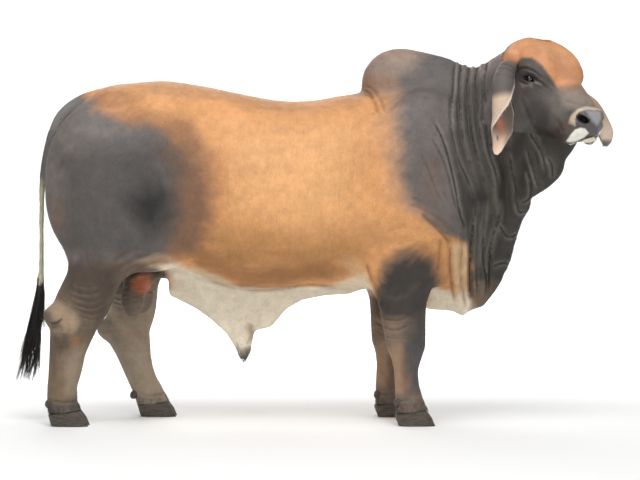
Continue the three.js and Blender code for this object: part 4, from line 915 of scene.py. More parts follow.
HINDLEG_MARKS = [
    ([(40, 282), (60, 270), (110, 262), (128, 275), (112, 330), (98, 430), (30, 430),
      (30, 330)], 8, "#645646", 0.95),
    ([(56, 262), (80, 258), (118, 268), (112, 300), (102, 320), (84, 316), (64, 300)], 9, "#463a32", 0.88),
    # painted light on the point of the hock
    ([(46, 294), (60, 298), (76, 310), (80, 322), (72, 334), (50, 332)], 4.5, "#a28a72", 0.85),
    # painted shade in the hollow under the point of the hock
    ([(49, 322), (60, 320), (62, 328), (52, 330)], 3, "#42352a", 0.75),
    ([(54, 334), (66, 334), (70, 356), (58, 358)], 6, "#4a3e33", 0.8),
    ([(70, 336), (80, 336), (80, 347), (71, 347)], 4, "#94694a", 0.7),
    ([(48, 340), (56, 340), (58, 388), (50, 388)], 4, "#55493f", 0.6),
    ([(60, 356), (86, 345), (84, 395), (62, 398)], 6, "#8d7d6a", 0.8),
    ([(44, 398), (88, 399), (90, 430), (40, 430)], 5, "#56504b", 0.85),
]
NOSE_PAD = [
    (576, 118), (580, 112), (588, 109.8), (603, 112), (612, 122), (612, 133), (601, 134.5), (590, 137),
    (585, 133.5), (586, 127), (578, 123),
]
FACE_MARKS = [
    ([(450, 20), (640, 20), (640, 200), (450, 200)], 1, "#57514d", 1.0),
    ([(496, 66), (505, 55), (512, 40), (530, 20), (640, 20), (640, 84), (586, 88), (578, 96), (566, 94),
      (556, 88), (549, 76), (541, 65), (531, 58), (522, 58), (516, 64), (514, 74), (510, 74),
      (505, 67)], 2.2, ORANGE, 0.98),
    ([(505, 56), (520, 44), (545, 44), (570, 56), (580, 74), (576, 84), (560, 66), (535, 52),
      (515, 56)], 5, "#cb966c", 0.6),
    ([(556, 54), (570, 58), (582, 72), (582, 82), (570, 84), (560, 72)], 6, "#a8795c", 0.6),
    ([(522, 47), (534, 44), (541, 52), (534, 56), (520, 55)], 4, "#b5784e", 0.5),
    ([(553, 88), (560, 85.5), (570, 83), (580, 80), (590, 84), (590, 98),
      (560, 100)], 4.5, "#776559", 0.85),
    ([(514, 74), (520, 61), (531, 59), (541, 66), (549, 77), (557, 89), (546, 92), (530, 90),
      (518, 88)], 3, "#554e49", 0.9),
    ([(521, 76), (526, 72.5), (533, 73.5), (540, 79), (546, 84.5), (552, 91), (541, 84), (533, 79.5),
      (525, 81)], 1.6, "#2b2725", 0.92),
    ([(519, 82.5), (526, 84.5), (533, 83.5), (532, 87.5), (522, 88)], 1.6, "#9a9187", 0.6),
    ([(532, 79.5), (538, 81), (543, 84.5), (541, 86), (535, 84)], 1.2, "#a39a90", 0.55),
    # painted shade on the rear and lower cheek
    ([(524, 92), (540, 96), (548, 106), (548, 124), (540, 134), (526, 112)], 7, "#3b3835", 0.8),
    # painted sheen along the ridge of the cheek
    ([(540, 90), (556, 94), (566, 104), (562, 118), (552, 112), (545, 100)], 5, "#736d67", 0.6),
    # painted shade under the cheek
    ([(536, 128), (552, 130), (560, 140), (548, 146), (536, 142)], 5, "#2f2c2a", 0.7),
    ([(560, 94), (584, 90), (600, 106), (604, 112), (584, 108), (572, 110),
      (560, 106)], 4, "#85796d", 0.85),
    ([(567.5, 124), (571, 115), (577.5, 109.3), (586, 106.8), (600, 108.3), (608, 116), (608, 122),
      (600, 112), (586, 110), (578.5, 112), (575, 119), (575, 126)], 1.3, "#c9b5a0", 0.9),
    (NOSE_PAD, 1.0, "#565352", 1.0),
    # painted highlight: the top of the wet nose pad painted pale grey
    ([(586, 110.8), (603, 111.6), (609, 121), (609, 129), (600, 130), (594, 122),
      (589, 116)], 3, "#a2a0a2", 0.9),
    ([(556, 127), (560, 122), (567, 120), (573, 124), (574, 131), (569, 138), (563, 141), (558, 138),
      (555, 132)], 3.4, "#51433b", 0.8),
    ([(566.5, 141.5), (570, 136), (575, 130), (580, 127.8), (585, 128.6), (588.5, 133), (584, 137.6),
      (576, 141.4), (570, 142.8)], 1.0, "#e9e6dc", 0.96),
    ([(563, 142.6), (570, 144.2), (577, 142.6), (585, 139.4), (598, 135.5), (606, 134), (606, 141),
      (595, 145.5), (580, 148.5), (566, 147.5)], 0.9, "#e9e0c8", 0.95),
    ([(532, 145), (552, 146), (566, 147.5), (576, 148), (570, 175), (540, 178)], 3.5, "#1f1c19", 0.95),
    # painted shade under the cheek
    ([(536, 132), (552, 134), (560, 142), (552, 148), (538, 145)], 3, "#35312c", 0.8),
]
NOSTRIL = [(577, 116.5), (581, 115), (586, 116.5), (590, 120), (589, 123.5), (585, 123.5), (580, 121)]
NOSTRIL_EDGE = 0.9
print("face", len(FACE_MARKS), "marks")

# %% [markdown]
# Real markings have ragged, mingled edges. A sum of a few long waves in space bends every edge a little,
# the same way for hide and hair. The bottom of a fold is painted darker, as painted shade, and its bank
# paler, as painted light. The colours are kept on the points of the hide, and the same function will colour
# the hair.

# %% Lay the markings
RNG = np.random.default_rng(7)
WAVE_SIZES = (300, 210, 130, 90, 60, 42, 30, 22)
WAVES = [(RNG.normal(size=3), RNG.uniform(0, 6.28), 1 / size) for size in WAVE_SIZES for _ in (0, 1)]


def wobble(places):
    """A smooth uneven value about 0, the same wherever a place is asked for."""
    total = np.zeros(len(places))
    for direction, start, rate in WAVES:
        way = direction / np.linalg.norm(direction)
        total += np.sin(places @ way * rate * 6.28 + start) * rate ** -0.7
    return total / 90


def lay(colours, seen, marks, mask, uneven):
    """Lays each mark over the colours so far, soft at its edge, where the mask allows."""
    for outline, soft, code, share in marks:
        some = close_to(seen, np.asarray(outline, float), soft * 1.6 + 3)
        far = polygon_distance(seen[some], outline) + uneven[some] * min(soft, 6) * 0.5
        amount = (1 - ramp(far, -soft, soft)) * share * mask[some]
        colours[some] += (linear(code) - colours[some]) * amount[:, None]


def line_shade(colours, seen, folds, mask, code, half, share):
    """Paints shade into folds with a dark code and light beside them with a pale one, the deep ones most.
    `half` is the tint's half width in pixels.
    """
    for run, depth, width, rise in folds:
        run = rounded(run)
        some = close_to(seen, run, half * 3)
        far, along = distance_to_run(seen[some], run)
        ends = ramp(along, 0.0, 0.12) * (1 - ramp(along, 0.82, 1.0))
        amount = np.exp(-(far / half) ** 2) * share * min(1, depth / 6) * ends * mask[some]
        colours[some] += (linear(code) - colours[some]) * amount[:, None]


# The middle of the tail from its root down, forward and up in millimetres
TAIL_RUN = [
    (-991, 1405), (-1035, 1374), (-1067, 1333), (-1096, 1256), (-1118, 1173), (-1140, 1090), (-1147, 1010),
    (-1150, 790), (-1151, 600),
]


def hide_colours(places):
    """The colour of the coat at each place, linear, with painted shade and light in its folds, hollows and
    nostrils.
    """
    seen = pixel(near_side(places))
    head = ramp(head_share(places), 0.3, 0.7)
    x, y, z = places.T
    uneven = wobble(places)
    fore = ramp(x, 60, 120)
    on_leg = leg_pixels(places)
    colours = np.tile(linear(RED_TAN), (len(places), 1))
    lay(colours, seen, TRUNK_MARKS, np.ones(len(places)), uneven)
    leg = (np.abs(y) > 92) * (1 - head)
    lay(colours, on_leg, FORELEG_MARKS, leg * fore * (z < 800), uneven)
    lay(colours, on_leg, HINDLEG_MARKS, leg * (1 - fore) * (z < 760), uneven)
    fold_shade_mask = 1 - head
    # painted light on the banks and painted shade in the creases of the neck and dewlap pleats
    line_shade(colours, seen, NECK_FOLDS + DEWLAP_FOLDS, fold_shade_mask, "#958c83", 3.0, 0.42)
    line_shade(colours, seen, NECK_FOLDS + DEWLAP_FOLDS, fold_shade_mask, "#121110", 1.05, 0.97)
    # painted shade in the creases of the shoulder and flank folds
    line_shade(colours, seen, SHOULDER_FOLDS, fold_shade_mask, "#7a5232", 1.2, 0.6)
    line_shade(colours, seen, FLANK_FOLDS, fold_shade_mask, "#6f4c2d", 1.2, 0.5)
    # painted light beside the creases of the legs, and painted shade in them
    line_shade(colours, on_leg, LEG_FOLDS, leg, "#8f7b68", 2.4, 0.35)
    line_shade(colours, on_leg, LEG_FOLDS, leg, "#211c18", 0.8, 0.7)
    far_hind = ((y > 60) & (z < 640) & (x < 0)) * 1.0
    colours += (linear("#a89985") - colours) * (0.55 * far_hind * (1 - ramp(z, 500, 640)))[:, None]
    # tail
    tail_far, _ = distance_to_run(np.stack([x, z], 1), np.array(TAIL_RUN, float))
    on_tail = (1 - ramp(tail_far, 30, 44)) * (np.abs(y + 5) < 46) * (x < -960)
    tail_grey, tail_cream = linear("#76726f"), linear("#d6ccb2")
    tail_colour = tail_grey + (tail_cream - tail_grey) * (1 - ramp(z, 1020, 1120))[:, None]
    colours += (tail_colour - colours) * (on_tail * 0.95)[:, None]
    lay(colours, seen, FACE_MARKS, head, uneven * 0.5)
    # painted shade in the creases of the face
    line_shade(colours, seen, FACE_FOLDS, head, "#2a2623", 0.7, 0.6)
    # the nostril openings painted near black, as painted shade inside them
    nostril = 1 - ramp(polygon_distance(seen, NOSTRIL), -NOSTRIL_EDGE, NOSTRIL_EDGE)
    colours += (linear("#0f0e10") - colours) * (nostril * head)[:, None]
    # a little unevenness of the coat everywhere
    colours *= (1 + 0.05 * np.clip(uneven, -1.5, 1.5))[:, None]
    return np.clip(colours, 0, 1)


def keep_colours(piece, colours, name="coat_colour"):
    layer = piece.data.color_attributes.new(name, "FLOAT_COLOR", "POINT")
    packed = np.ones((len(colours), 4), np.float32)
    packed[:, :3] = colours
    layer.data.foreach_set("color", packed.ravel())


def keep_value(piece, values, name):
    layer = piece.data.attributes.new(name, "FLOAT", "POINT")
    layer.data.foreach_set("value", np.asarray(values, np.float32))


places = read_places(hide)
keep_colours(hide, hide_colours(places))
print("markings laid on", len(places), "points")

# %% [markdown]
# The finish will also need to know where the skin wrinkles and where it is wet. Three more values are
# kept on the points for that: upright wrinkles over the ribs, level ones round legs and scrotum, and the
# wet nose pad.

# %% Where the finish changes
RIB_FIELD = [(215, 120), (360, 115), (385, 150), (380, 230), (340, 262), (225, 258)]
SCROTUM_FIELD = [(118, 276), (160, 272), (160, 322), (118, 322)]


def band(height, middle, reach):
    """1 at one height, fading out above and below."""
    return np.exp(-((height - middle) / reach) ** 2)


seen = pixel(near_side(places))
head = head_share(places)
height = places[:, 2]
ribs = (1 - ramp(polygon_distance(seen, RIB_FIELD), -12, 12)) * (1 - head)
on_leg_side = (np.abs(places[:, 1]) > 60) * (1 - ramp(height, 560, LEG_TOP))
rings = on_leg_side * (0.15 + 0.6 * band(height, 400, 60) + 0.5 * band(height, 110, 35))
rings += 1 - ramp(polygon_distance(seen, SCROTUM_FIELD), -2, 3)
pad = 1 - ramp(polygon_distance(seen, NOSE_PAD), -1, 1)
keep_value(hide, ribs, "ribs")
keep_value(hide, np.clip(rings, 0, 1) * (1 - head), "rings")
keep_value(hide, pad * (head > 0.5), "wet")
print("wet points", int((pad * (head > 0.5) > 0.5).sum()))

# %% [markdown]
# ## The finish of the hide
# Short hair that lies flat looks like a dull skin with very fine streaks down it. Close to, there are
# specks, then pores and small creases, then wrinkles. Each is a noise of its own size, from coarse to
# fine, and each bump builds on the one before. One small function adds a node and joins it up.

# %% Hide finish
def new_finish(name):
    finish = bpy.data.materials.new(name)
    finish.use_nodes = True
    surface = finish.node_tree.nodes["Principled BSDF"]
    return finish, finish.node_tree, surface


def add_node(tree, kind, links=(), **values):
    """Adds a node. `values` set its settings or sockets, `links` are (socket, output) pairs."""
    node = tree.nodes.new("ShaderNode" + kind)
    for key, value in values.items():
        if hasattr(node, key):
            setattr(node, key, value)
        else:
            node.inputs[key.replace("_", " ")].default_value = value
    for socket, output in links:
        tree.links.new(output, node.inputs[socket])
    return node


def noise(tree, places, scale, detail, rough=0.5):
    """A soft noise in space. A scale of 100 has lumps about a centimetre across."""
    links = [("Vector", places)]
    return add_node(tree, "TexNoise", links, Scale=scale, Detail=detail, Roughness=rough).outputs["Fac"]


def around_one(tree, value, low, high):
    """Turns a noise into a factor between low and high, by which a colour is made darker or lighter."""
    limits = dict(From_Min=0.3, From_Max=0.7, To_Min=low, To_Max=high)
    return add_node(tree, "MapRange", [("Value", value)], **limits).outputs[0]


def bump(tree, height, distance, strength, under=None):
    """Bump of a height in metres, on top of the bump under it."""
    links = [("Height", height)] + ([("Normal", under)] if under else [])
    return add_node(tree, "Bump", links, Distance=distance, Strength=strength).outputs[0]


def hide_finish():
    """Short sleek hair over loose skin: dull, streaked, creased over ribs and joints, wet on the nose."""
    finish, tree, surface = new_finish("short_sleek_hide")
    places = add_node(tree, "TexCoord").outputs["Object"]
    coat = add_node(tree, "Attribute", attribute_name="coat_colour").outputs["Color"]
    ribs = add_node(tree, "Attribute", attribute_name="ribs").outputs["Fac"]
    rings = add_node(tree, "Attribute", attribute_name="rings").outputs["Fac"]
    wet = add_node(tree, "Attribute", attribute_name="wet").outputs["Fac"]
    # Hair: specks two or three millimetres across, drawn out downwards, lighter and darker.
    drawn = add_node(tree, "Mapping", [("Vector", places)], Scale=(1, 1, 0.4)).outputs[0]
    specks = noise(tree, drawn, 420.0, 3.0, 0.65)
    patches = noise(tree, places, 26.0, 5.0, 0.6)
    lively = around_one(tree, specks, 0.86, 1.14)
    mottle = around_one(tree, patches, 0.88, 1.12)
    both = add_node(tree, "Math", [(0, lively), (1, mottle)], operation="MULTIPLY").outputs[0]
    colour = add_node(tree, "VectorMath", [(0, coat), (3, both)], operation="SCALE").outputs[0]
    tree.links.new(colour, surface.inputs["Base Color"])
    # Wrinkles: upright over the ribs, level round legs and scrotum.
    upright = add_node(tree, "Mapping", [("Vector", places)], Scale=(1, 0.25, 0.16)).outputs[0]
    upright = noise(tree, upright, 38.0, 3.0)
    level = add_node(tree, "Mapping", [("Vector", places)], Scale=(0.25, 0.25, 1)).outputs[0]
    level = noise(tree, level, 62.0, 3.0)
    on_ribs = add_node(tree, "Math", [(0, upright), (1, ribs)], operation="MULTIPLY").outputs[0]
    on_legs = add_node(tree, "Math", [(0, level), (1, rings)], operation="MULTIPLY").outputs[0]
    wrinkles = add_node(tree, "Math", [(0, on_ribs), (1, on_legs)], operation="ADD").outputs[0]
    # The pad of the nose is covered in flat pebbles, four millimetres across.
    pebbles = add_node(tree, "TexVoronoi", [("Vector", places)], Scale=240.0).outputs["Distance"]
    pebbles = add_node(tree, "Math", [(0, pebbles), (1, wet)], operation="MULTIPLY").outputs[0]
    broad = bump(tree, wrinkles, 0.02, 0.55)
    leather = bump(tree, noise(tree, places, 120.0, 4.0, 0.6), 0.003, 0.45, broad)
    nose = bump(tree, pebbles, 0.003, 0.5, leather)
    hair = bump(tree, specks, 0.0012, 0.5, nose)
    tree.links.new(hair, surface.inputs["Normal"])
    # Hair is dull, and the wet nose shines.
    rough = add_node(tree, "MapRange", [("Value", wet)], To_Min=0.62, To_Max=0.3).outputs[0]
    tree.links.new(rough, surface.inputs["Roughness"])
    surface.inputs["Specular IOR Level"].default_value = 0.35
    return finish


hide.data.materials.clear()
hide.data.materials.append(hide_finish())
print("hide finish", hide.data.materials[0].name)

# %% [markdown]
# ## Ears
# A Brahman's ears are long hanging leaves, rolled at the root and open towards the tip. Each one is a
# grid of points wound round a curve, thin at the rim, which is closed all round. The roll starts inside
# the head. First come the two curves, and how wide and how far open the roll is along them.

# %% Shape of the ears
EAR_RIGHT = [(958, -150, 1556), (930, -196, 1562), (906, -256, 1556), (884, -314, 1520), (876, -345, 1465),
             (880, -358, 1400), (876, -366, 1330), (862, -374, 1255), (842, -380, 1180)]
EAR_LEFT = [(1096, -36, 1590), (1128, -6, 1600), (1160, 30, 1588), (1186, 62, 1550), (1206, 86, 1500),
            (1240, 100, 1440), (1296, 108, 1390), (1330, 110, 1345), (1352, 110, 1300),
            (1360, 108, 1256), (1360, 104, 1222)]
# Rows: place along the ear, radius of its roll, half angle of its opening, thickness in the middle.
EAR_ROLL = np.array([
    (0.00, 26, 150, 7.0), (0.12, 33, 150, 7.0), (0.28, 42, 148, 6.0), (0.45, 50, 138, 5.0),
    (0.65, 53, 116, 4.2), (0.80, 48, 96, 3.6), (0.90, 39, 82, 3.2), (0.96, 29, 70, 3.0),
    (1.00, 12, 52, 2.6),
])
# Direction of the opening at root and tip in degrees, and how wide the tip is
EAR_TURN = {"ear_right": (EAR_RIGHT, 40, -92, 0.78), "ear_left": (EAR_LEFT, -120, -222, 1.35)}
# Rows: place along the ear and depth of the folds that cross its root.
EAR_FOLDS = ((0.22, 2.5), (0.30, 5.5), (0.35, 3.5), (0.40, 2.0))
EAR_ROWS = 90
EAR_COLUMNS = 36


def smooth_curve(points, count):
    """Even steps along a Catmull-Rom curve, and its direction at each."""
    points = np.asarray(points, float)
    padded = np.vstack([2 * points[0] - points[1], points, 2 * points[-1] - points[-2]])
    dense = []
    for i in range(1, len(padded) - 2):
        p0, p1, p2, p3 = padded[i - 1:i + 3]
        for t in np.linspace(0, 1, 24, endpoint=False):
            curve = 2 * p1 + (p2 - p0) * t + (2 * p0 - 5 * p1 + 4 * p2 - p3) * t ** 2
            dense.append(0.5 * (curve + (3 * p1 - p0 - 3 * p2 + p3) * t ** 3))
    dense = np.array(dense + [points[-1]])
    walked = np.concatenate([[0], np.cumsum(np.linalg.norm(np.diff(dense, axis=0), axis=1))])
    at = np.linspace(0, walked[-1], count)
    places = np.stack([np.interp(at, walked, dense[:, k]) for k in range(3)], axis=1)
    along = np.gradient(places, axis=0)
    return places, along / np.linalg.norm(along, axis=1)[:, None]


def ear_grid(name):
    """Outer and inner points of the leaf, and for each its place along, across and its outward direction."""
    path, open_from, open_to, tip = EAR_TURN[name]
    axis, down = smooth_curve(path, EAR_ROWS)
    t = np.linspace(0, 1, EAR_ROWS)
    radius, half, thick = (np.interp(t, EAR_ROLL[:, 0], EAR_ROLL[:, k]) for k in (1, 2, 3))
    radius = radius * (1 + (tip - 1) * ramp(t, 0.78, 0.92))
    turn = np.radians(open_from + (open_to - open_from) * ramp(t, 0.3, 0.97))
    opening = np.stack([np.cos(turn), np.sin(turn), np.zeros(EAR_ROWS)], axis=1)
    opening -= down * (opening * down).sum(1)[:, None]
    opening /= np.linalg.norm(opening, axis=1)[:, None]
    side = np.cross(down, opening)
    share = np.linspace(-1, 1, EAR_COLUMNS)
    angle = np.radians(share[None, :] * half[:, None])
    out = -opening[:, None] * np.cos(angle)[..., None] + side[:, None] * np.sin(angle)[..., None]
    # the rim waves a little, and shallow folds cross the root where the ear bends down
    wavy = np.sin(t * 31 + 1.3) * ramp(t, 0.3, 0.6)
    wave = 1 + 0.035 * wavy[:, None] * np.abs(share)[None, :] ** 3
    fold = -sum(deep * np.exp(-((t - at) / 0.012) ** 2) for at, deep in EAR_FOLDS)
    veins = 1.0 * np.cos(share * 9)[None, :] * ramp(t, 0.35, 0.6)[:, None] * (1 - ramp(t, 0.85, 1))[:, None]
    reach = radius[:, None] * wave + fold[:, None] + veins
    rim = np.clip(1 - np.abs(share) ** 6 * 0.75, 0.2, 1)[None, :] * (1 - 0.45 * np.abs(share) ** 2)[None, :]
    outer = axis[:, None] + out * reach[..., None]
    inner = axis[:, None] + out * (reach - thick[:, None] * rim)[..., None]
    return outer, inner, t, share, out


print("ears", EAR_ROWS, "by", EAR_COLUMNS, "points on each side")

# %% [markdown]
# A leaf is two such grids, outer and inner, joined all along the rim. Its back is grey at the root and
# beige below, with painted shade in the folds across the root of the near ear. Inside it is dusky, pink in
# the middle and cream at the tip, with a pale rim and a spot of painted shade in the curl of the near ear.
# The colours are laid on by place along and across the leaf. At the root they run into the hide's own.

# %% Roll the ears
def mesh_from(name, places, faces):
    """A new piece from places in the body's millimetres."""
    data = bpy.data.meshes.new(name)
    data.from_pydata(metres(places).tolist(), [], [list(map(int, face)) for face in faces])
    data.update()
    piece = bpy.data.objects.new(name, data)
    bpy.context.scene.collection.objects.link(piece)
    return piece


def leaf_faces(rows, columns):
    """Outer faces, inner faces, and the strips that close the rim."""
    faces = []
    back = rows * columns
    for i in range(rows - 1):
        for k in range(columns - 1):
            a = i * columns + k
            faces.append((a, a + columns, a + columns + 1, a + 1))
            faces.append((back + a, back + a + 1, back + a + columns + 1, back + a + columns))
        a = i * columns
        b = a + columns - 1
        faces.append((a, back + a, back + a + columns, a + columns))
        faces.append((b, b + columns, back + b + columns, back + b))
    for k in range(columns - 1):
        last = (rows - 1) * columns + k
        faces.append((k, k + 1, back + k + 1, back + k))
        faces.append((last, back + last, back + last + 1, last + 1))
    return faces


EAR_GREY = "#59524d"
EAR_BACK = "#c6ae98"
EAR_CREAM = "#e0cdb8"
EAR_RIM = "#f0e6d6"
EAR_PINK = "#d0876a"
EAR_INSIDE = "#82756a"


def ear_colours(t, share, inside, near):
    """Colours by place along (t) and across (share) the leaf, with painted shade in the root folds and the
    near ear's curl.
    """
    t = np.asarray(t, float)
    colours = np.tile(linear(EAR_GREY), (len(t), 1))

    def mix(code, amount):
        nonlocal colours
        colours = colours + (linear(code) - colours) * np.asarray(amount)[:, None]

    if near:
        mix(EAR_BACK, ramp(t, 0.5, 0.57))
        # painted shade in the folds across the root, deeper folds darker
        for at, deep in EAR_FOLDS:
            mix("#38322e", 0.16 * deep * np.exp(-((t - at) / 0.008) ** 2))
    else:
        mix("#a98a75", ramp(t, 0.1, 0.35))
    mix(EAR_CREAM, ramp(t, 0.72, 0.95) * 0.8)
    within = np.tile(linear(EAR_INSIDE), (len(t), 1))
    pink = np.exp(-((t - 0.75) / 0.10) ** 2) * np.exp(-((share + 0.2) / 0.24) ** 2)
    dusky_side = 0.6 * ramp(-share, 0.3, 0.7) * (1 - ramp(t, 0.86, 0.93))
    within += (linear("#dcc0ab") - within) * (ramp(t, 0.76, 0.87) * (1 - dusky_side))[:, None]
    within += (linear(EAR_PINK) - within) * (0.95 * pink)[:, None]
    colours = np.where(inside[:, None], within, colours)
    if near:
        mix(EAR_RIM, ramp(np.abs(share), 0.93, 0.985) * ramp(t, 0.3, 0.45) * 0.95)
        # painted shade in the curl inside the near ear
        spot = np.exp(-((t - 0.865) / 0.02) ** 2) * np.exp(-((share - 0.12) / 0.09) ** 2)
        mix("#3b2f2a", spot * inside * 0.95)
    else:
        mix(EAR_RIM, ramp(np.abs(share), 0.9, 0.98) * ramp(t, 0.3, 0.5) * 0.6)
        mix("#40352f", ramp(t, 0.93, 0.975) * 0.85)
        mix("#4d4038", ramp(np.abs(share), 0.8, 0.97) * ramp(t, 0.72, 0.85) * 0.85)
    return colours


def faces_outwards(piece):
    activate(piece)
    bpy.ops.object.mode_set(mode="EDIT")
    bpy.ops.mesh.select_all(action="SELECT")
    bpy.ops.mesh.normals_make_consistent(inside=False)
    bpy.ops.object.mode_set(mode="OBJECT")


def roll_ear(name, near):
    """One leaf, coloured and rounded, in place of the solid ear."""
    outer, inner, t, share, out = ear_grid(name)
    places = np.concatenate([outer.reshape(-1, 3), inner.reshape(-1, 3)])
    piece = mesh_from(name + "_leaf", places, leaf_faces(EAR_ROWS, EAR_COLUMNS))
    along = np.tile(np.repeat(t, EAR_COLUMNS), 2)
    across = np.tile(np.tile(share, EAR_ROWS), 2)
    inside = np.repeat([False, True], EAR_ROWS * EAR_COLUMNS)
    own = ear_colours(along, across, inside, near)
    root = (1 - ramp(along, 0.10, 0.30))[:, None]
    keep_colours(piece, own * (1 - root) + hide_colours(places) * root)
    faces_outwards(piece)
    round_off = piece.modifiers.new("round_off", "SUBSURF")
    round_off.levels = 1
    round_off.render_levels = 1
    bpy.ops.object.modifier_apply(modifier="round_off")
    bpy.ops.object.shade_smooth()
    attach(piece, "root")
    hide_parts(name)
    return piece


print("leaves ready to roll")

# %% [markdown]
# Ear skin is thin, with down on it, and light comes a little way through. That takes a little subsurface.

# %% Ear finish
def ear_finish():
    """Thin skin under short down: streaky and dull, with a little red light coming through."""
    finish, tree, surface = new_finish("thin_downy_ear_skin")
    places = add_node(tree, "TexCoord").outputs["Object"]
    coat = add_node(tree, "Attribute", attribute_name="coat_colour").outputs["Color"]
    drawn = add_node(tree, "Mapping", [("Vector", places)], Scale=(1, 1, 0.3)).outputs[0]
    down = noise(tree, drawn, 500.0, 3.0)
    lively = around_one(tree, down, 0.86, 1.12)
    colour = add_node(tree, "VectorMath", [(0, coat), (3, lively)], operation="SCALE").outputs[0]
    tree.links.new(colour, surface.inputs["Base Color"])
    tree.links.new(bump(tree, down, 0.0015, 0.5), surface.inputs["Normal"])
    surface.inputs["Roughness"].default_value = 0.65
    surface.inputs["Subsurface Weight"].default_value = 0.12
    surface.inputs["Subsurface Radius"].default_value = (0.006, 0.002, 0.001)
    return finish


ear_skin = ear_finish()
ears = [roll_ear("ear_right", True), roll_ear("ear_left", False)]
for ear in ears:
    ear.data.materials.append(ear_skin)
print("ears", [len(ear.data.polygons) for ear in ears], "faces")

# %% [markdown]
# ## Lid rims
# The rim of a lid is bare, dark and moist, a few millimetres thick, and rests on the eyeball. It is a tube
# swept round the almond, thicker above than below, and it also hides the edge where the hide sinks in.

# %% Sweep the rims
RIM_RADIUS = 23.0


def lid_curve(side, count=72):
    """Points round the almond, on the ball the lids lie on, with the outward direction at each."""
    closed = np.vstack([ALMOND, ALMOND[:1]])
    loop, _ = smooth_curve(np.column_stack([closed, np.zeros(len(closed))]), count + 1)
    loop = loop[:-1]
    height = np.sqrt(np.maximum(RIM_RADIUS ** 2 - loop[:, 0] ** 2 - loop[:, 1] ** 2, 40))
    centre, out, along, up = eye_axes(side)
    return centre + loop[:, :1] * along + loop[:, 1:2] * up + height[:, None] * out, loop


def sweep_rim(side, sides=10):
    """Points and faces of one closed tube round the almond."""
    ring, loop = lid_curve(side)
    centre, out, along, up = eye_axes(side)
    count = len(ring)
    forward = np.roll(ring, -1, axis=0) - np.roll(ring, 1, axis=0)
    forward /= np.linalg.norm(forward, axis=1)[:, None]
    radial = ring - centre
    radial /= np.linalg.norm(radial, axis=1)[:, None]
    across = np.cross(forward, radial)
    thick = 1.9 + 0.9 * ramp(loop[:, 1], 0, 9)
    turn = np.arange(sides) / sides * 2 * math.pi
    places = ring[:, None] + across[:, None] * (np.cos(turn)[None, :, None] * thick[:, None, None])
    places = places + radial[:, None] * (np.sin(turn)[None, :, None] * thick[:, None, None] * 0.85)
    faces = []
    for i in range(count):
        for k in range(sides):
            a, b = i * sides + k, i * sides + (k + 1) % sides
            c, d = (i + 1) % count * sides + (k + 1) % sides, (i + 1) % count * sides + k
            faces.append((a, b, c, d))
    return places.reshape(-1, 3), faces


def lid_rims():
    places, faces = [], []
    for side in (-1, 1):
        ring, quads = sweep_rim(side)
        start = sum(len(p) for p in places)
        faces += [tuple(v + start for v in quad) for quad in quads]
        places.append(ring)
    piece = mesh_from("lid_rims", np.vstack(places), faces)
    faces_outwards(piece)
    bpy.ops.object.shade_smooth()
    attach(piece, "root")
    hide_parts("head")
    # bare moist skin: dark, with a soft shine
    finish, tree, surface = new_finish("moist_lid_skin")
    surface.inputs["Base Color"].default_value = (*linear("#2a2421"), 1)
    surface.inputs["Roughness"].default_value = 0.35
    piece.data.materials.append(finish)
    return piece


rims = lid_rims()
print("lid rims", len(rims.data.polygons), "faces")

# %% [markdown]
# ## Hair
# A tuft is a few hairs stuck together: a thin three-sided spike that bends with the coat and ends in a
# point. Hundreds of separate pieces would be slow, so one function builds any number of spikes as a
# single mesh. Each takes its colour from its root, and a small patch of its own on a flat map of the
# skin.

# %% Spikes in one mesh
def coat_uv(places):
    """A flat place for every place on the skin: trunk, head and legs each unrolled round their own axis."""
    x, y, z = places.T
    local = to_head(places)
    head = head_share(places) > 0.5
    round_trunk = (np.arctan2(y, z - 1000) / math.pi + 1) / 2
    flat = np.stack([0.34 + 0.64 * np.clip((x + 1260) / 2300, 0, 1), 0.02 + 0.46 * round_trunk], axis=1)
    for number, (rear, left) in enumerate(((False, False), (False, True), (True, False), (True, True))):
        on = (z < LEG_TOP) & (np.abs(y) > 60) & ((x < -400) == rear) & ((y > 0) == left)
        middle = -880 if rear else 480
        angle = (np.arctan2(np.abs(y) - 210, x - middle) / math.pi + 1) / 2
        leg = np.stack([0.34 + 0.16 * number + 0.14 * angle, 0.52 + 0.44 * z / LEG_TOP], axis=1)
        flat = np.where(on[:, None], leg, flat)
    turn = (np.arctan2(local[:, 1], local[:, 2] + 60) / math.pi + 1) / 2
    face = np.stack([0.02 + 0.28 * turn, 0.02 + 0.4 * np.clip((local[:, 0] + 200) / 750, 0, 1)], axis=1)
    return np.where(head[:, None], face, flat)


PATCH = 0.003


def spike_faces(rings):
    """Triangles of one spike: a closed root, three sides along each ring, and a point."""
    faces = [(0, 1, 2)]
    for k in range(rings - 1):
        for a, b in ((0, 1), (1, 2), (2, 0)):
            low_a, low_b, top_a, top_b = k * 3 + a, k * 3 + b, k * 3 + 3 + a, k * 3 + 3 + b
            faces += [(low_a, top_a, top_b), (low_a, top_b, low_b)]
    last = (rings - 1) * 3
    faces += [(last + a, rings * 3, last + b) for a, b in ((0, 1), (1, 2), (2, 0))]
    return np.array(faces)


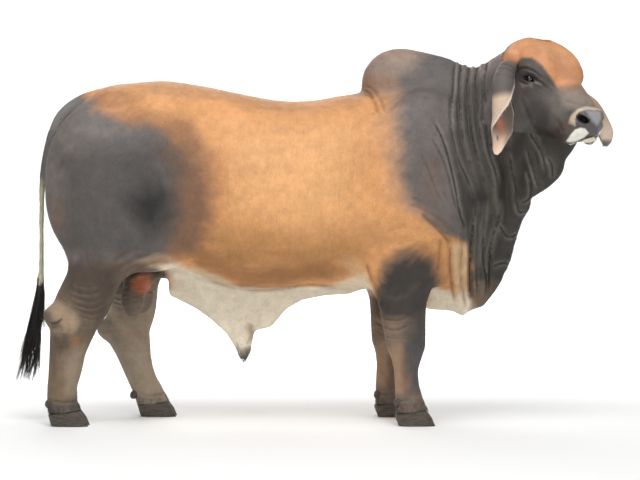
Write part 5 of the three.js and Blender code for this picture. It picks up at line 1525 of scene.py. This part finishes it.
def spikes_mesh(name, places, colours, flat):
    """One piece from spikes. `places` holds three points for each ring and one for the tip."""
    count, per, _ = places.shape
    rings = (per - 1) // 3
    corners = (spike_faces(rings)[None] + (np.arange(count) * per)[:, None, None]).reshape(-1, 3)
    data = bpy.data.meshes.new(name)
    data.vertices.add(count * per)
    data.vertices.foreach_set("co", metres(places.reshape(-1, 3)).astype(np.float32).ravel())
    data.loops.add(corners.size)
    data.loops.foreach_set("vertex_index", corners.astype(np.int32).ravel())
    data.polygons.add(len(corners))
    data.polygons.foreach_set("loop_start", (np.arange(len(corners)) * 3).astype(np.int32))
    data.update(calc_edges=True)
    piece = bpy.data.objects.new(name, data)
    bpy.context.scene.collection.objects.link(piece)
    keep_colours(piece, np.repeat(colours, per, axis=0))
    # a patch three thousandths across for each spike, at its root's place
    spot = np.zeros((per, 2))
    spot[:, 0] = np.append(np.tile([0, 1, 0.5], rings), 0.5)
    spot[:, 1] = np.append(np.repeat(np.linspace(0, 1, rings + 1)[:-1], 3), 1)
    spots = (flat[:, None] + spot[None] * PATCH).reshape(-1, 2)
    layer = data.uv_layers.new(name="OFBake")
    layer.data.foreach_set("uv", spots[corners.ravel()].astype(np.float32).ravel())
    activate(piece)
    bpy.ops.object.shade_smooth()
    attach(piece, "root")
    return piece


print("a tuft of three rings has", len(spike_faces(3)), "triangles")

# %% [markdown]
# The next function plants tufts on the skin: from roots, a direction to lie in, a length and a lift. Hair
# that lies flat takes the light as the skin under it does, so the tufts borrow the skin's normals.
# Without that they look like dark dashes.

# %% Plant tufts
def grow(name, roots, normals, lie, length, width, colours, lift=0.25, rings=3, bend=0.0, flat=None):
    """Three-sided spikes. `lift` stands them off the skin, and `bend` lets them droop."""
    count = len(roots)
    lie = lie - normals * (lie * normals).sum(1)[:, None]
    lie /= np.linalg.norm(lie, axis=1)[:, None] + 1e-9
    side = np.cross(normals, lie)
    length = np.broadcast_to(length, count)
    width = np.broadcast_to(width, count)
    lift = np.broadcast_to(lift, count)
    down = np.array([0, 0, -1.0])
    places = np.empty((count, rings * 3 + 1, 3))
    for k, t in enumerate(np.linspace(0, 1, rings + 1)):
        # leaves the skin, then lays itself over
        rise = lift * length * np.sin(min(t * 1.9, math.pi / 2)) * (1 - 0.55 * t)
        middle = roots + lie * (length * t)[:, None] + normals * rise[:, None]
        middle = middle + down * (bend * length * t * t)[:, None] - normals * (1.2 * (t == 0))
        if k == rings:
            places[:, rings * 3] = middle
            continue
        half = width * 0.5 * (1 - t ** 1.6) + 0.05
        places[:, k * 3] = middle + side * half[:, None]
        places[:, k * 3 + 1] = middle - side * half[:, None]
        places[:, k * 3 + 2] = middle + normals * (half * 0.7)[:, None]
    piece = spikes_mesh(name, places, colours, coat_uv(roots) if flat is None else flat)
    per = rings * 3 + 1
    piece.data.normals_split_custom_set_from_vertices(np.repeat(normals, per, axis=0).tolist())
    return piece


def scatter(piece, count, weight, seed):
    """Random places on a surface: place, normal. `weight` makes some parts likelier."""
    data = piece.data
    data.calc_loop_triangles()
    corners = np.empty(len(data.loop_triangles) * 3, np.int32)
    data.loop_triangles.foreach_get("vertices", corners)
    corners = corners.reshape(-1, 3)
    points = read_places(piece)
    normals = read_normals(piece)
    a, b, c = points[corners[:, 0]], points[corners[:, 1]], points[corners[:, 2]]
    area = np.linalg.norm(np.cross(b - a, c - a), axis=1)
    chance = area * weight((a + b + c) / 3)
    rng = np.random.default_rng(seed)
    pick = rng.choice(len(corners), count, p=chance / chance.sum())
    r1, r2 = np.sqrt(rng.random(count)), rng.random(count)
    shares = np.stack([1 - r1, r1 * (1 - r2), r1 * r2], axis=1)
    spots = (points[corners[pick]] * shares[..., None]).sum(1)
    facing = (normals[corners[pick]] * shares[..., None]).sum(1)
    return spots, facing / np.linalg.norm(facing, axis=1)[:, None]


TAIL_FROM = -1080


def lie_of_coat(places, seed):
    """Backwards and down on the trunk, down on the legs and the tail, down the face towards the nose."""
    rng = np.random.default_rng(seed)
    lie = np.tile(np.array([-0.75, 0.0, -0.65]), (len(places), 1))
    low = (1 - ramp(places[:, 2], 560, 760))[:, None]
    lie = lie * (1 - low) + np.array([-0.25, 0, -1.0]) * low
    head = head_share(places)[:, None]
    lie = lie * (1 - head) + (HEAD_U * 0.9 - HEAD_W * 0.45) * head
    tail = (1 - ramp(places[:, 0], TAIL_FROM - 50, TAIL_FROM))[:, None]
    lie = lie * (1 - tail) + np.array([-0.1, 0, -1.0]) * tail
    return lie + rng.normal(size=places.shape) * 0.16


def hair_finish(name, rough):
    """Hair in the colour of its roots. Short hair is dull, long hair has some gloss."""
    finish, tree, surface = new_finish(name)
    coat = add_node(tree, "Attribute", attribute_name="coat_colour").outputs["Color"]
    tree.links.new(coat, surface.inputs["Base Color"])
    surface.inputs["Roughness"].default_value = rough
    surface.inputs["Specular IOR Level"].default_value = 0.35
    return finish


coat_hair = hair_finish("short_coat_hair", 0.65)
long_hair = hair_finish("long_glossy_hair", 0.45)


def uneven_hair(colours, seed, spread=0.12):
    """Each tuft a little darker or lighter than the skin at its root."""
    rng = np.random.default_rng(seed)
    return np.clip(colours * (1 + rng.normal(size=(len(colours), 1)) * spread), 0, 1)

print("hair finishes", coat_hair.name, long_hair.name)

# %% [markdown]
# ## The short coat
# On most of this bull the hair is short and flat, so its look is in the finish. Thin tufts over it break
# the smooth outline and catch the light. They are smaller on the face and the feet, and there are none on
# the nose pad or in the eyes.

# %% Short coat
def flat_coat(name, count, seed, weight, length, width):
    """Tufts that lie close, on the part of the hide that `weight` picks."""
    roots, facing = scatter(hide, count, weight, seed)
    rng = np.random.default_rng(seed + 1)
    colours = uneven_hair(hide_colours(roots), seed + 2, 0.10)
    head = head_share(roots)
    feet = 1 - ramp(roots[:, 2], 80, 420)
    shorter = (1 - 0.5 * head) * (1 - 0.45 * feet)
    lie = lie_of_coat(roots, seed + 3)
    long = length * shorter * rng.uniform(0.7, 1.3, count)
    wide = width * shorter * rng.uniform(0.7, 1.3, count)
    tufts = grow(name, roots, facing, lie, long, wide, colours, lift=0.06, rings=2)
    tufts.data.materials.append(coat_hair)
    return tufts


def dry_skin(places):
    """0 on the nose pad and in the eyes, where no hair grows, and 1 elsewhere."""
    seen = pixel(near_side(places))
    bare = (polygon_distance(seen, NOSE_PAD) < 1.5) & (head_share(places) > 0.5)
    return np.where(bare | near_eye(places, 26), 0.0, 1.0)


def on_trunk(places):
    return dry_skin(places) * (places[:, 2] > 640) * (1 - head_share(places)) + 1e-9


def on_legs(places):
    return (places[:, 2] < 660) * (np.abs(places[:, 1]) > 60) + 1e-9


def on_face(places):
    return dry_skin(places) * head_share(places) + 1e-9


trunk_coat = flat_coat("trunk_coat", 16000, 11, on_trunk, 15, 2.2)
leg_coat = flat_coat("leg_coat", 6000, 21, on_legs, 13, 2.2)
head_coat = flat_coat("head_coat", 5000, 31, on_face, 11, 1.8)
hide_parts("barrel", "shoulders", "hindquarters", "hump", "neck", "dewlap", "sheath")
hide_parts(*[n for n in flesh_names if "leg_" in n])
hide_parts("head")
print("short coat", [len(t.data.polygons) for t in (trunk_coat, leg_coat, head_coat)], "triangles")

# %% [markdown]
# ## The switch
# The end of the tail carries long wavy hair. It leaves the tail in tiers and hangs in locks, which part
# towards their tips. So each strand belongs to one of a few dozen locks, and shares that lock's way out,
# length and wave.

# %% Switch
SWITCH_RUN = [
    (-1156, 0, 640), (-1158, 0, 590), (-1166, 0, 520), (-1178, 0, 430), (-1190, 0, 340), (-1204, 0, 250),
    (-1222, 0, 166),
]


def switch_strands(count=1300, rings=9, seed=41):
    """Points of every strand, where each starts along the tail and on which side of it."""
    rng = np.random.default_rng(seed)
    axis, down = smooth_curve(SWITCH_RUN, 200)
    locks = 46
    lock = rng.integers(0, locks, count)
    around = rng.uniform(0, 2 * math.pi, locks)[lock] + rng.normal(size=count) * 0.13
    start = rng.uniform(0.0, 0.36, locks)[lock] + rng.normal(size=count) * 0.02
    tip = np.clip(start + rng.uniform(0.42, 0.72, locks)[lock] + rng.normal(size=count) * 0.03, 0.2, 1.0)
    start = np.clip(start, 0, 0.4)
    spread = rng.uniform(8, 56, locks)[lock] * (0.75 + 0.25 * rng.random(count))
    wave_size = rng.uniform(4, 15, locks)[lock]
    wave_rate = rng.uniform(6, 12, locks)[lock]
    wave_start = rng.uniform(0, 6.28, locks)[lock] + rng.normal(size=count) * 0.25
    core = np.interp(start, [0, 0.1, 0.25, 0.4], [13, 17, 15, 6])
    width = rng.uniform(1.6, 3.0, count)
    outward = np.stack([np.cos(around), np.sin(around), np.zeros(count)], axis=1)
    across = np.stack([-np.sin(around), np.cos(around), np.zeros(count)], axis=1)
    per = rings * 3 + 1
    places = np.empty((count, per, 3))
    for k in range(rings + 1):
        t = k / rings
        at = start + (tip - start) * t
        index = at * 199
        middle = np.stack([np.interp(index, np.arange(200), axis[:, j]) for j in range(3)], axis=1)
        swing = wave_size * np.sin(t * wave_rate + wave_start) * t
        reach = core + (spread - core * 0.4) * math.sin(t * 1.7) * (0.35 + 0.65 * t)
        middle = middle + outward * reach[:, None] + across * swing[:, None]
        middle = middle + outward * (swing * 0.5)[:, None]
        if k == rings:
            places[:, -1] = middle
            continue
        half = width * 0.5 * (1 - 0.85 * t ** 2)
        places[:, k * 3] = middle + across * half[:, None]
        places[:, k * 3 + 1] = middle - across * half[:, None]
        places[:, k * 3 + 2] = middle + outward * (half * 0.8)[:, None]
    return places, start, around


places, start, around = switch_strands()
flat = np.stack([0.02 + 0.26 * (around % 6.283) / 6.283, 0.76 + 0.2 * start / 0.4], axis=1)
dark = uneven_hair(np.tile(linear("#2b2725"), (len(places), 1)), 42, 0.35)
switch = spikes_mesh("switch_strands", places, dark, flat)
switch.data.materials.append(long_hair)
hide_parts("tail_switch")
print("switch", len(switch.data.polygons), "triangles")

# %% [markdown]
# ## Hair that stands out
# In a few places the hair is longer than the rest of the coat. Fine pale hair fringes the rims of the
# ears. It grows from the edge of the leaf's own grid, outwards and down.

# %% Ear fringe
def ear_fringe(ear, count, seed):
    """Short fine hairs from both rims of the leaf."""
    outer, inner, t, share, out = ear_grid(ear)
    rng = np.random.default_rng(seed)
    at = rng.uniform(0.34, 1.0, count)
    rim = rng.integers(0, 2, count) * (EAR_COLUMNS - 1)
    row = np.clip((at * (EAR_ROWS - 1)).astype(int), 0, EAR_ROWS - 2)
    part = (at * (EAR_ROWS - 1) - row)[:, None]
    roots = outer[row, rim] * (1 - part) + outer[row + 1, rim] * part
    down = outer[row + 1, rim] - outer[row, rim]
    down /= np.linalg.norm(down, axis=1)[:, None]
    beside = outer[row, rim] - outer[row, np.where(rim == 0, 3, EAR_COLUMNS - 4)]
    beside /= np.linalg.norm(beside, axis=1)[:, None]
    lie = down + beside * rng.uniform(0.2, 0.7, count)[:, None] + rng.normal(size=(count, 3)) * 0.12
    colours = uneven_hair(np.tile(linear(EAR_CREAM), (count, 1)), seed + 1, 0.1)
    strip = 0.5 + 0.05 * (rim > 0) + 0.1 * (seed % 2) + 0.04 * rng.random(count)
    flat = np.stack([0.02 + 0.26 * at, strip], axis=1)
    name = ear.replace("ear_", "ear_fringe_")
    length = rng.uniform(8, 15, count)
    hairs = grow(name, roots - beside, out[row, rim], lie, length, 1.3, colours, lift=0.05, flat=flat)
    hairs.data.materials.append(coat_hair)
    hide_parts(ear)
    return hairs


fringes = [ear_fringe("ear_right", 420, 51), ear_fringe("ear_left", 420, 52)]
print("fringes", [len(hairs.data.polygons) for hairs in fringes], "triangles")

# %% [markdown]
# Cattle have long black lashes on the upper lid, which shade the eye, and few and short ones on the lower.

# %% Lashes
def lash_row(side, count, seed):
    """Roots on the rims, the way they face, the way they lie, and their lengths."""
    ring, loop = lid_curve(side, 200)
    centre, out, along, up = eye_axes(side)
    rng = np.random.default_rng(seed)
    upper = np.flatnonzero(loop[:, 1] > 2.0)
    lower = np.flatnonzero(loop[:, 1] < -3.0)
    pick = np.concatenate([rng.choice(upper, count), rng.choice(lower, count // 4)])
    over = np.arange(len(pick)) < count
    roots = ring[pick] + out * 1.5
    fan = (loop[pick, 0] / 24)[:, None] * along
    lie = out + fan * 0.6 + np.where(over, -0.35, -0.6)[:, None] * up + rng.normal(size=(len(pick), 3)) * 0.08
    length = np.where(over, 15.0, 7.0) * rng.uniform(0.8, 1.15, len(pick))
    return roots, np.tile(up, (len(pick), 1)), lie, length


rows = [lash_row(side, 70, 60 + side) for side in (-1, 1)]
roots, facing, lie, length = (np.concatenate([row[k] for row in rows]) for k in range(4))
flat = np.stack([np.linspace(0.02, 0.28, len(roots)), np.full(len(roots), 0.71)], axis=1)
black = np.tile(linear("#1c1816"), (len(roots), 1))
lashes = grow("lashes", roots, facing, lie, length, 0.9, black, lift=0.0, bend=0.12, flat=flat)
lashes.data.materials.append(long_hair)
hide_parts("head")
print("lashes", len(roots))

# %% [markdown]
# The tail's shaft is clad in longer hair that hangs down it. Hair falls over the tops of the hooves,
# hangs from the end of the sheath, and grows thick on the poll between the ears.

# %% Longer tufts
def longer_tufts(name, count, seed, weight, length, width, lift, lie=None, shade=1.0):
    """Tufts longer than the coat round them, on the part of the hide where `weight` is above nothing."""
    roots, facing = scatter(hide, count, lambda p: weight(p) + 1e-12, seed)
    rng = np.random.default_rng(seed + 1)
    colours = uneven_hair(hide_colours(roots) * shade, seed + 2, 0.14)
    way = lie_of_coat(roots, seed + 3) if lie is None else np.tile(np.array(lie, float), (count, 1))
    way = way + rng.normal(size=(count, 3)) * 0.15
    tufts = grow(name, roots, facing, way, length * rng.uniform(0.6, 1.25, count), width, colours, lift=lift)
    tufts.data.materials.append(coat_hair)
    return tufts


def in_box(places, low, high):
    return ((places > np.array(low, float)) & (places < np.array(high, float))).all(axis=1) * 1.0


def tail_shaft(places):
    return in_box(places, (-1250, -60, 590), (-1040, 60, 1300))


def hoof_tops(places):
    return in_box(places, (-1300, -500, 55), (1000, 500, 118)) * (np.abs(places[:, 1]) > 60)


def sheath_end(places):
    inside = polygon_distance(pixel(places), [(237, 346), (254, 346), (254, 362), (237, 362)]) < 0
    return inside * (places[:, 2] < 380)


def poll(places):
    return head_share(places) * in_box(places, (880, -140, 1600), (1100, 90, 1800))


DOWN = (0, 0, -1)
ALONG_TAIL = (-0.05, 0, -1)
tail_hair = longer_tufts("tail_shaft_hair", 2600, 71, tail_shaft, 30, 2.0, 0.10, ALONG_TAIL)
hoof_hair = longer_tufts("coronet_hair", 2200, 74, hoof_tops, 24, 2.0, 0.12, DOWN, 0.75)
sheath_hair = longer_tufts("sheath_end_hair", 220, 77, sheath_end, 34, 1.8, 0.12, DOWN, 0.7)
poll_hair = longer_tufts("poll_hair", 1500, 80, poll, 19, 2.0, 0.16)
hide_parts(*[n for n in nodes if n.startswith("tail") and n != "tail_switch"])
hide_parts(*[n for n in flesh_names if "foot" in n or "leg_" in n])
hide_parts("sheath")
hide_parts("head")
all_longer = (tail_hair, hoof_hair, sheath_hair, poll_hair)
print("longer tufts", [len(tufts.data.polygons) for tufts in all_longer], "triangles")

# %% [markdown]
# ## Hooves, eyes and the solids that stay
# Claws, dewclaws and eyeballs are shown as the solids they are. Horn grows down in layers, so it has fine
# level bands. An eye is nearly black and wet. The other solids are hidden by the pieces that replace
# them, and take a plain finish.

# %% Finishes of the parts that stay
def plain_finish(name, code, rough):
    finish, tree, surface = new_finish(name)
    surface.inputs["Base Color"].default_value = (*linear(code), 1)
    surface.inputs["Roughness"].default_value = rough
    return finish


def hoof_finish():
    """Dull dark horn in fine level layers, each a little proud of the next."""
    finish, tree, surface = new_finish("layered_hoof_horn")
    places = add_node(tree, "TexCoord").outputs["Object"]
    layers = add_node(tree, "Mapping", [("Vector", places)], Scale=(0.12, 0.12, 1)).outputs[0]
    layers = noise(tree, layers, 260.0, 3.0)
    colour = add_node(tree, "ValToRGB", [("Fac", layers)])
    colour.color_ramp.elements[0].position = 0.3
    colour.color_ramp.elements[0].color = (*linear("#2b2622"), 1)
    colour.color_ramp.elements[1].position = 0.75
    colour.color_ramp.elements[1].color = (*linear("#5d5347"), 1)
    tree.links.new(colour.outputs["Color"], surface.inputs["Base Color"])
    tree.links.new(bump(tree, layers, 0.002, 0.6), surface.inputs["Normal"])
    surface.inputs["Roughness"].default_value = 0.5
    return finish


def eye_finish():
    """A dark eyeball under a clear wet film, which gives the sharp highlight."""
    finish, tree, surface = new_finish("wet_dark_eye")
    surface.inputs["Base Color"].default_value = (*linear("#0d0a09"), 1)
    surface.inputs["Roughness"].default_value = 0.12
    surface.inputs["Coat Weight"].default_value = 1.0
    surface.inputs["Coat Roughness"].default_value = 0.03
    return finish


def give(piece, finish):
    """The solids are kept as they are and only take a finish."""
    if not piece.material_slots:
        piece.data.materials.append(finish)
    for holder in piece.material_slots:
        holder.link = "OBJECT"
        holder.material = finish


hoof_horn = hoof_finish()
wet_eye = eye_finish()
black_hair = plain_finish("black_switch_hair", "#262220", 0.55)
cream_hair = plain_finish("plain_cream_hair", CREAM, 0.7)
for name, node in nodes.items():
    if "claw" in name:
        give(node, hoof_horn)
    elif name.startswith("eye_"):
        give(node, wet_eye)
    elif name == "tail_switch":
        give(node, black_hair)
    else:
        give(node, cream_hair)
print("finishes on", len(nodes), "solids")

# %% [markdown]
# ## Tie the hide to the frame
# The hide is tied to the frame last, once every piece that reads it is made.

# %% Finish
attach(hide, "root")
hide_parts(*flesh_names)
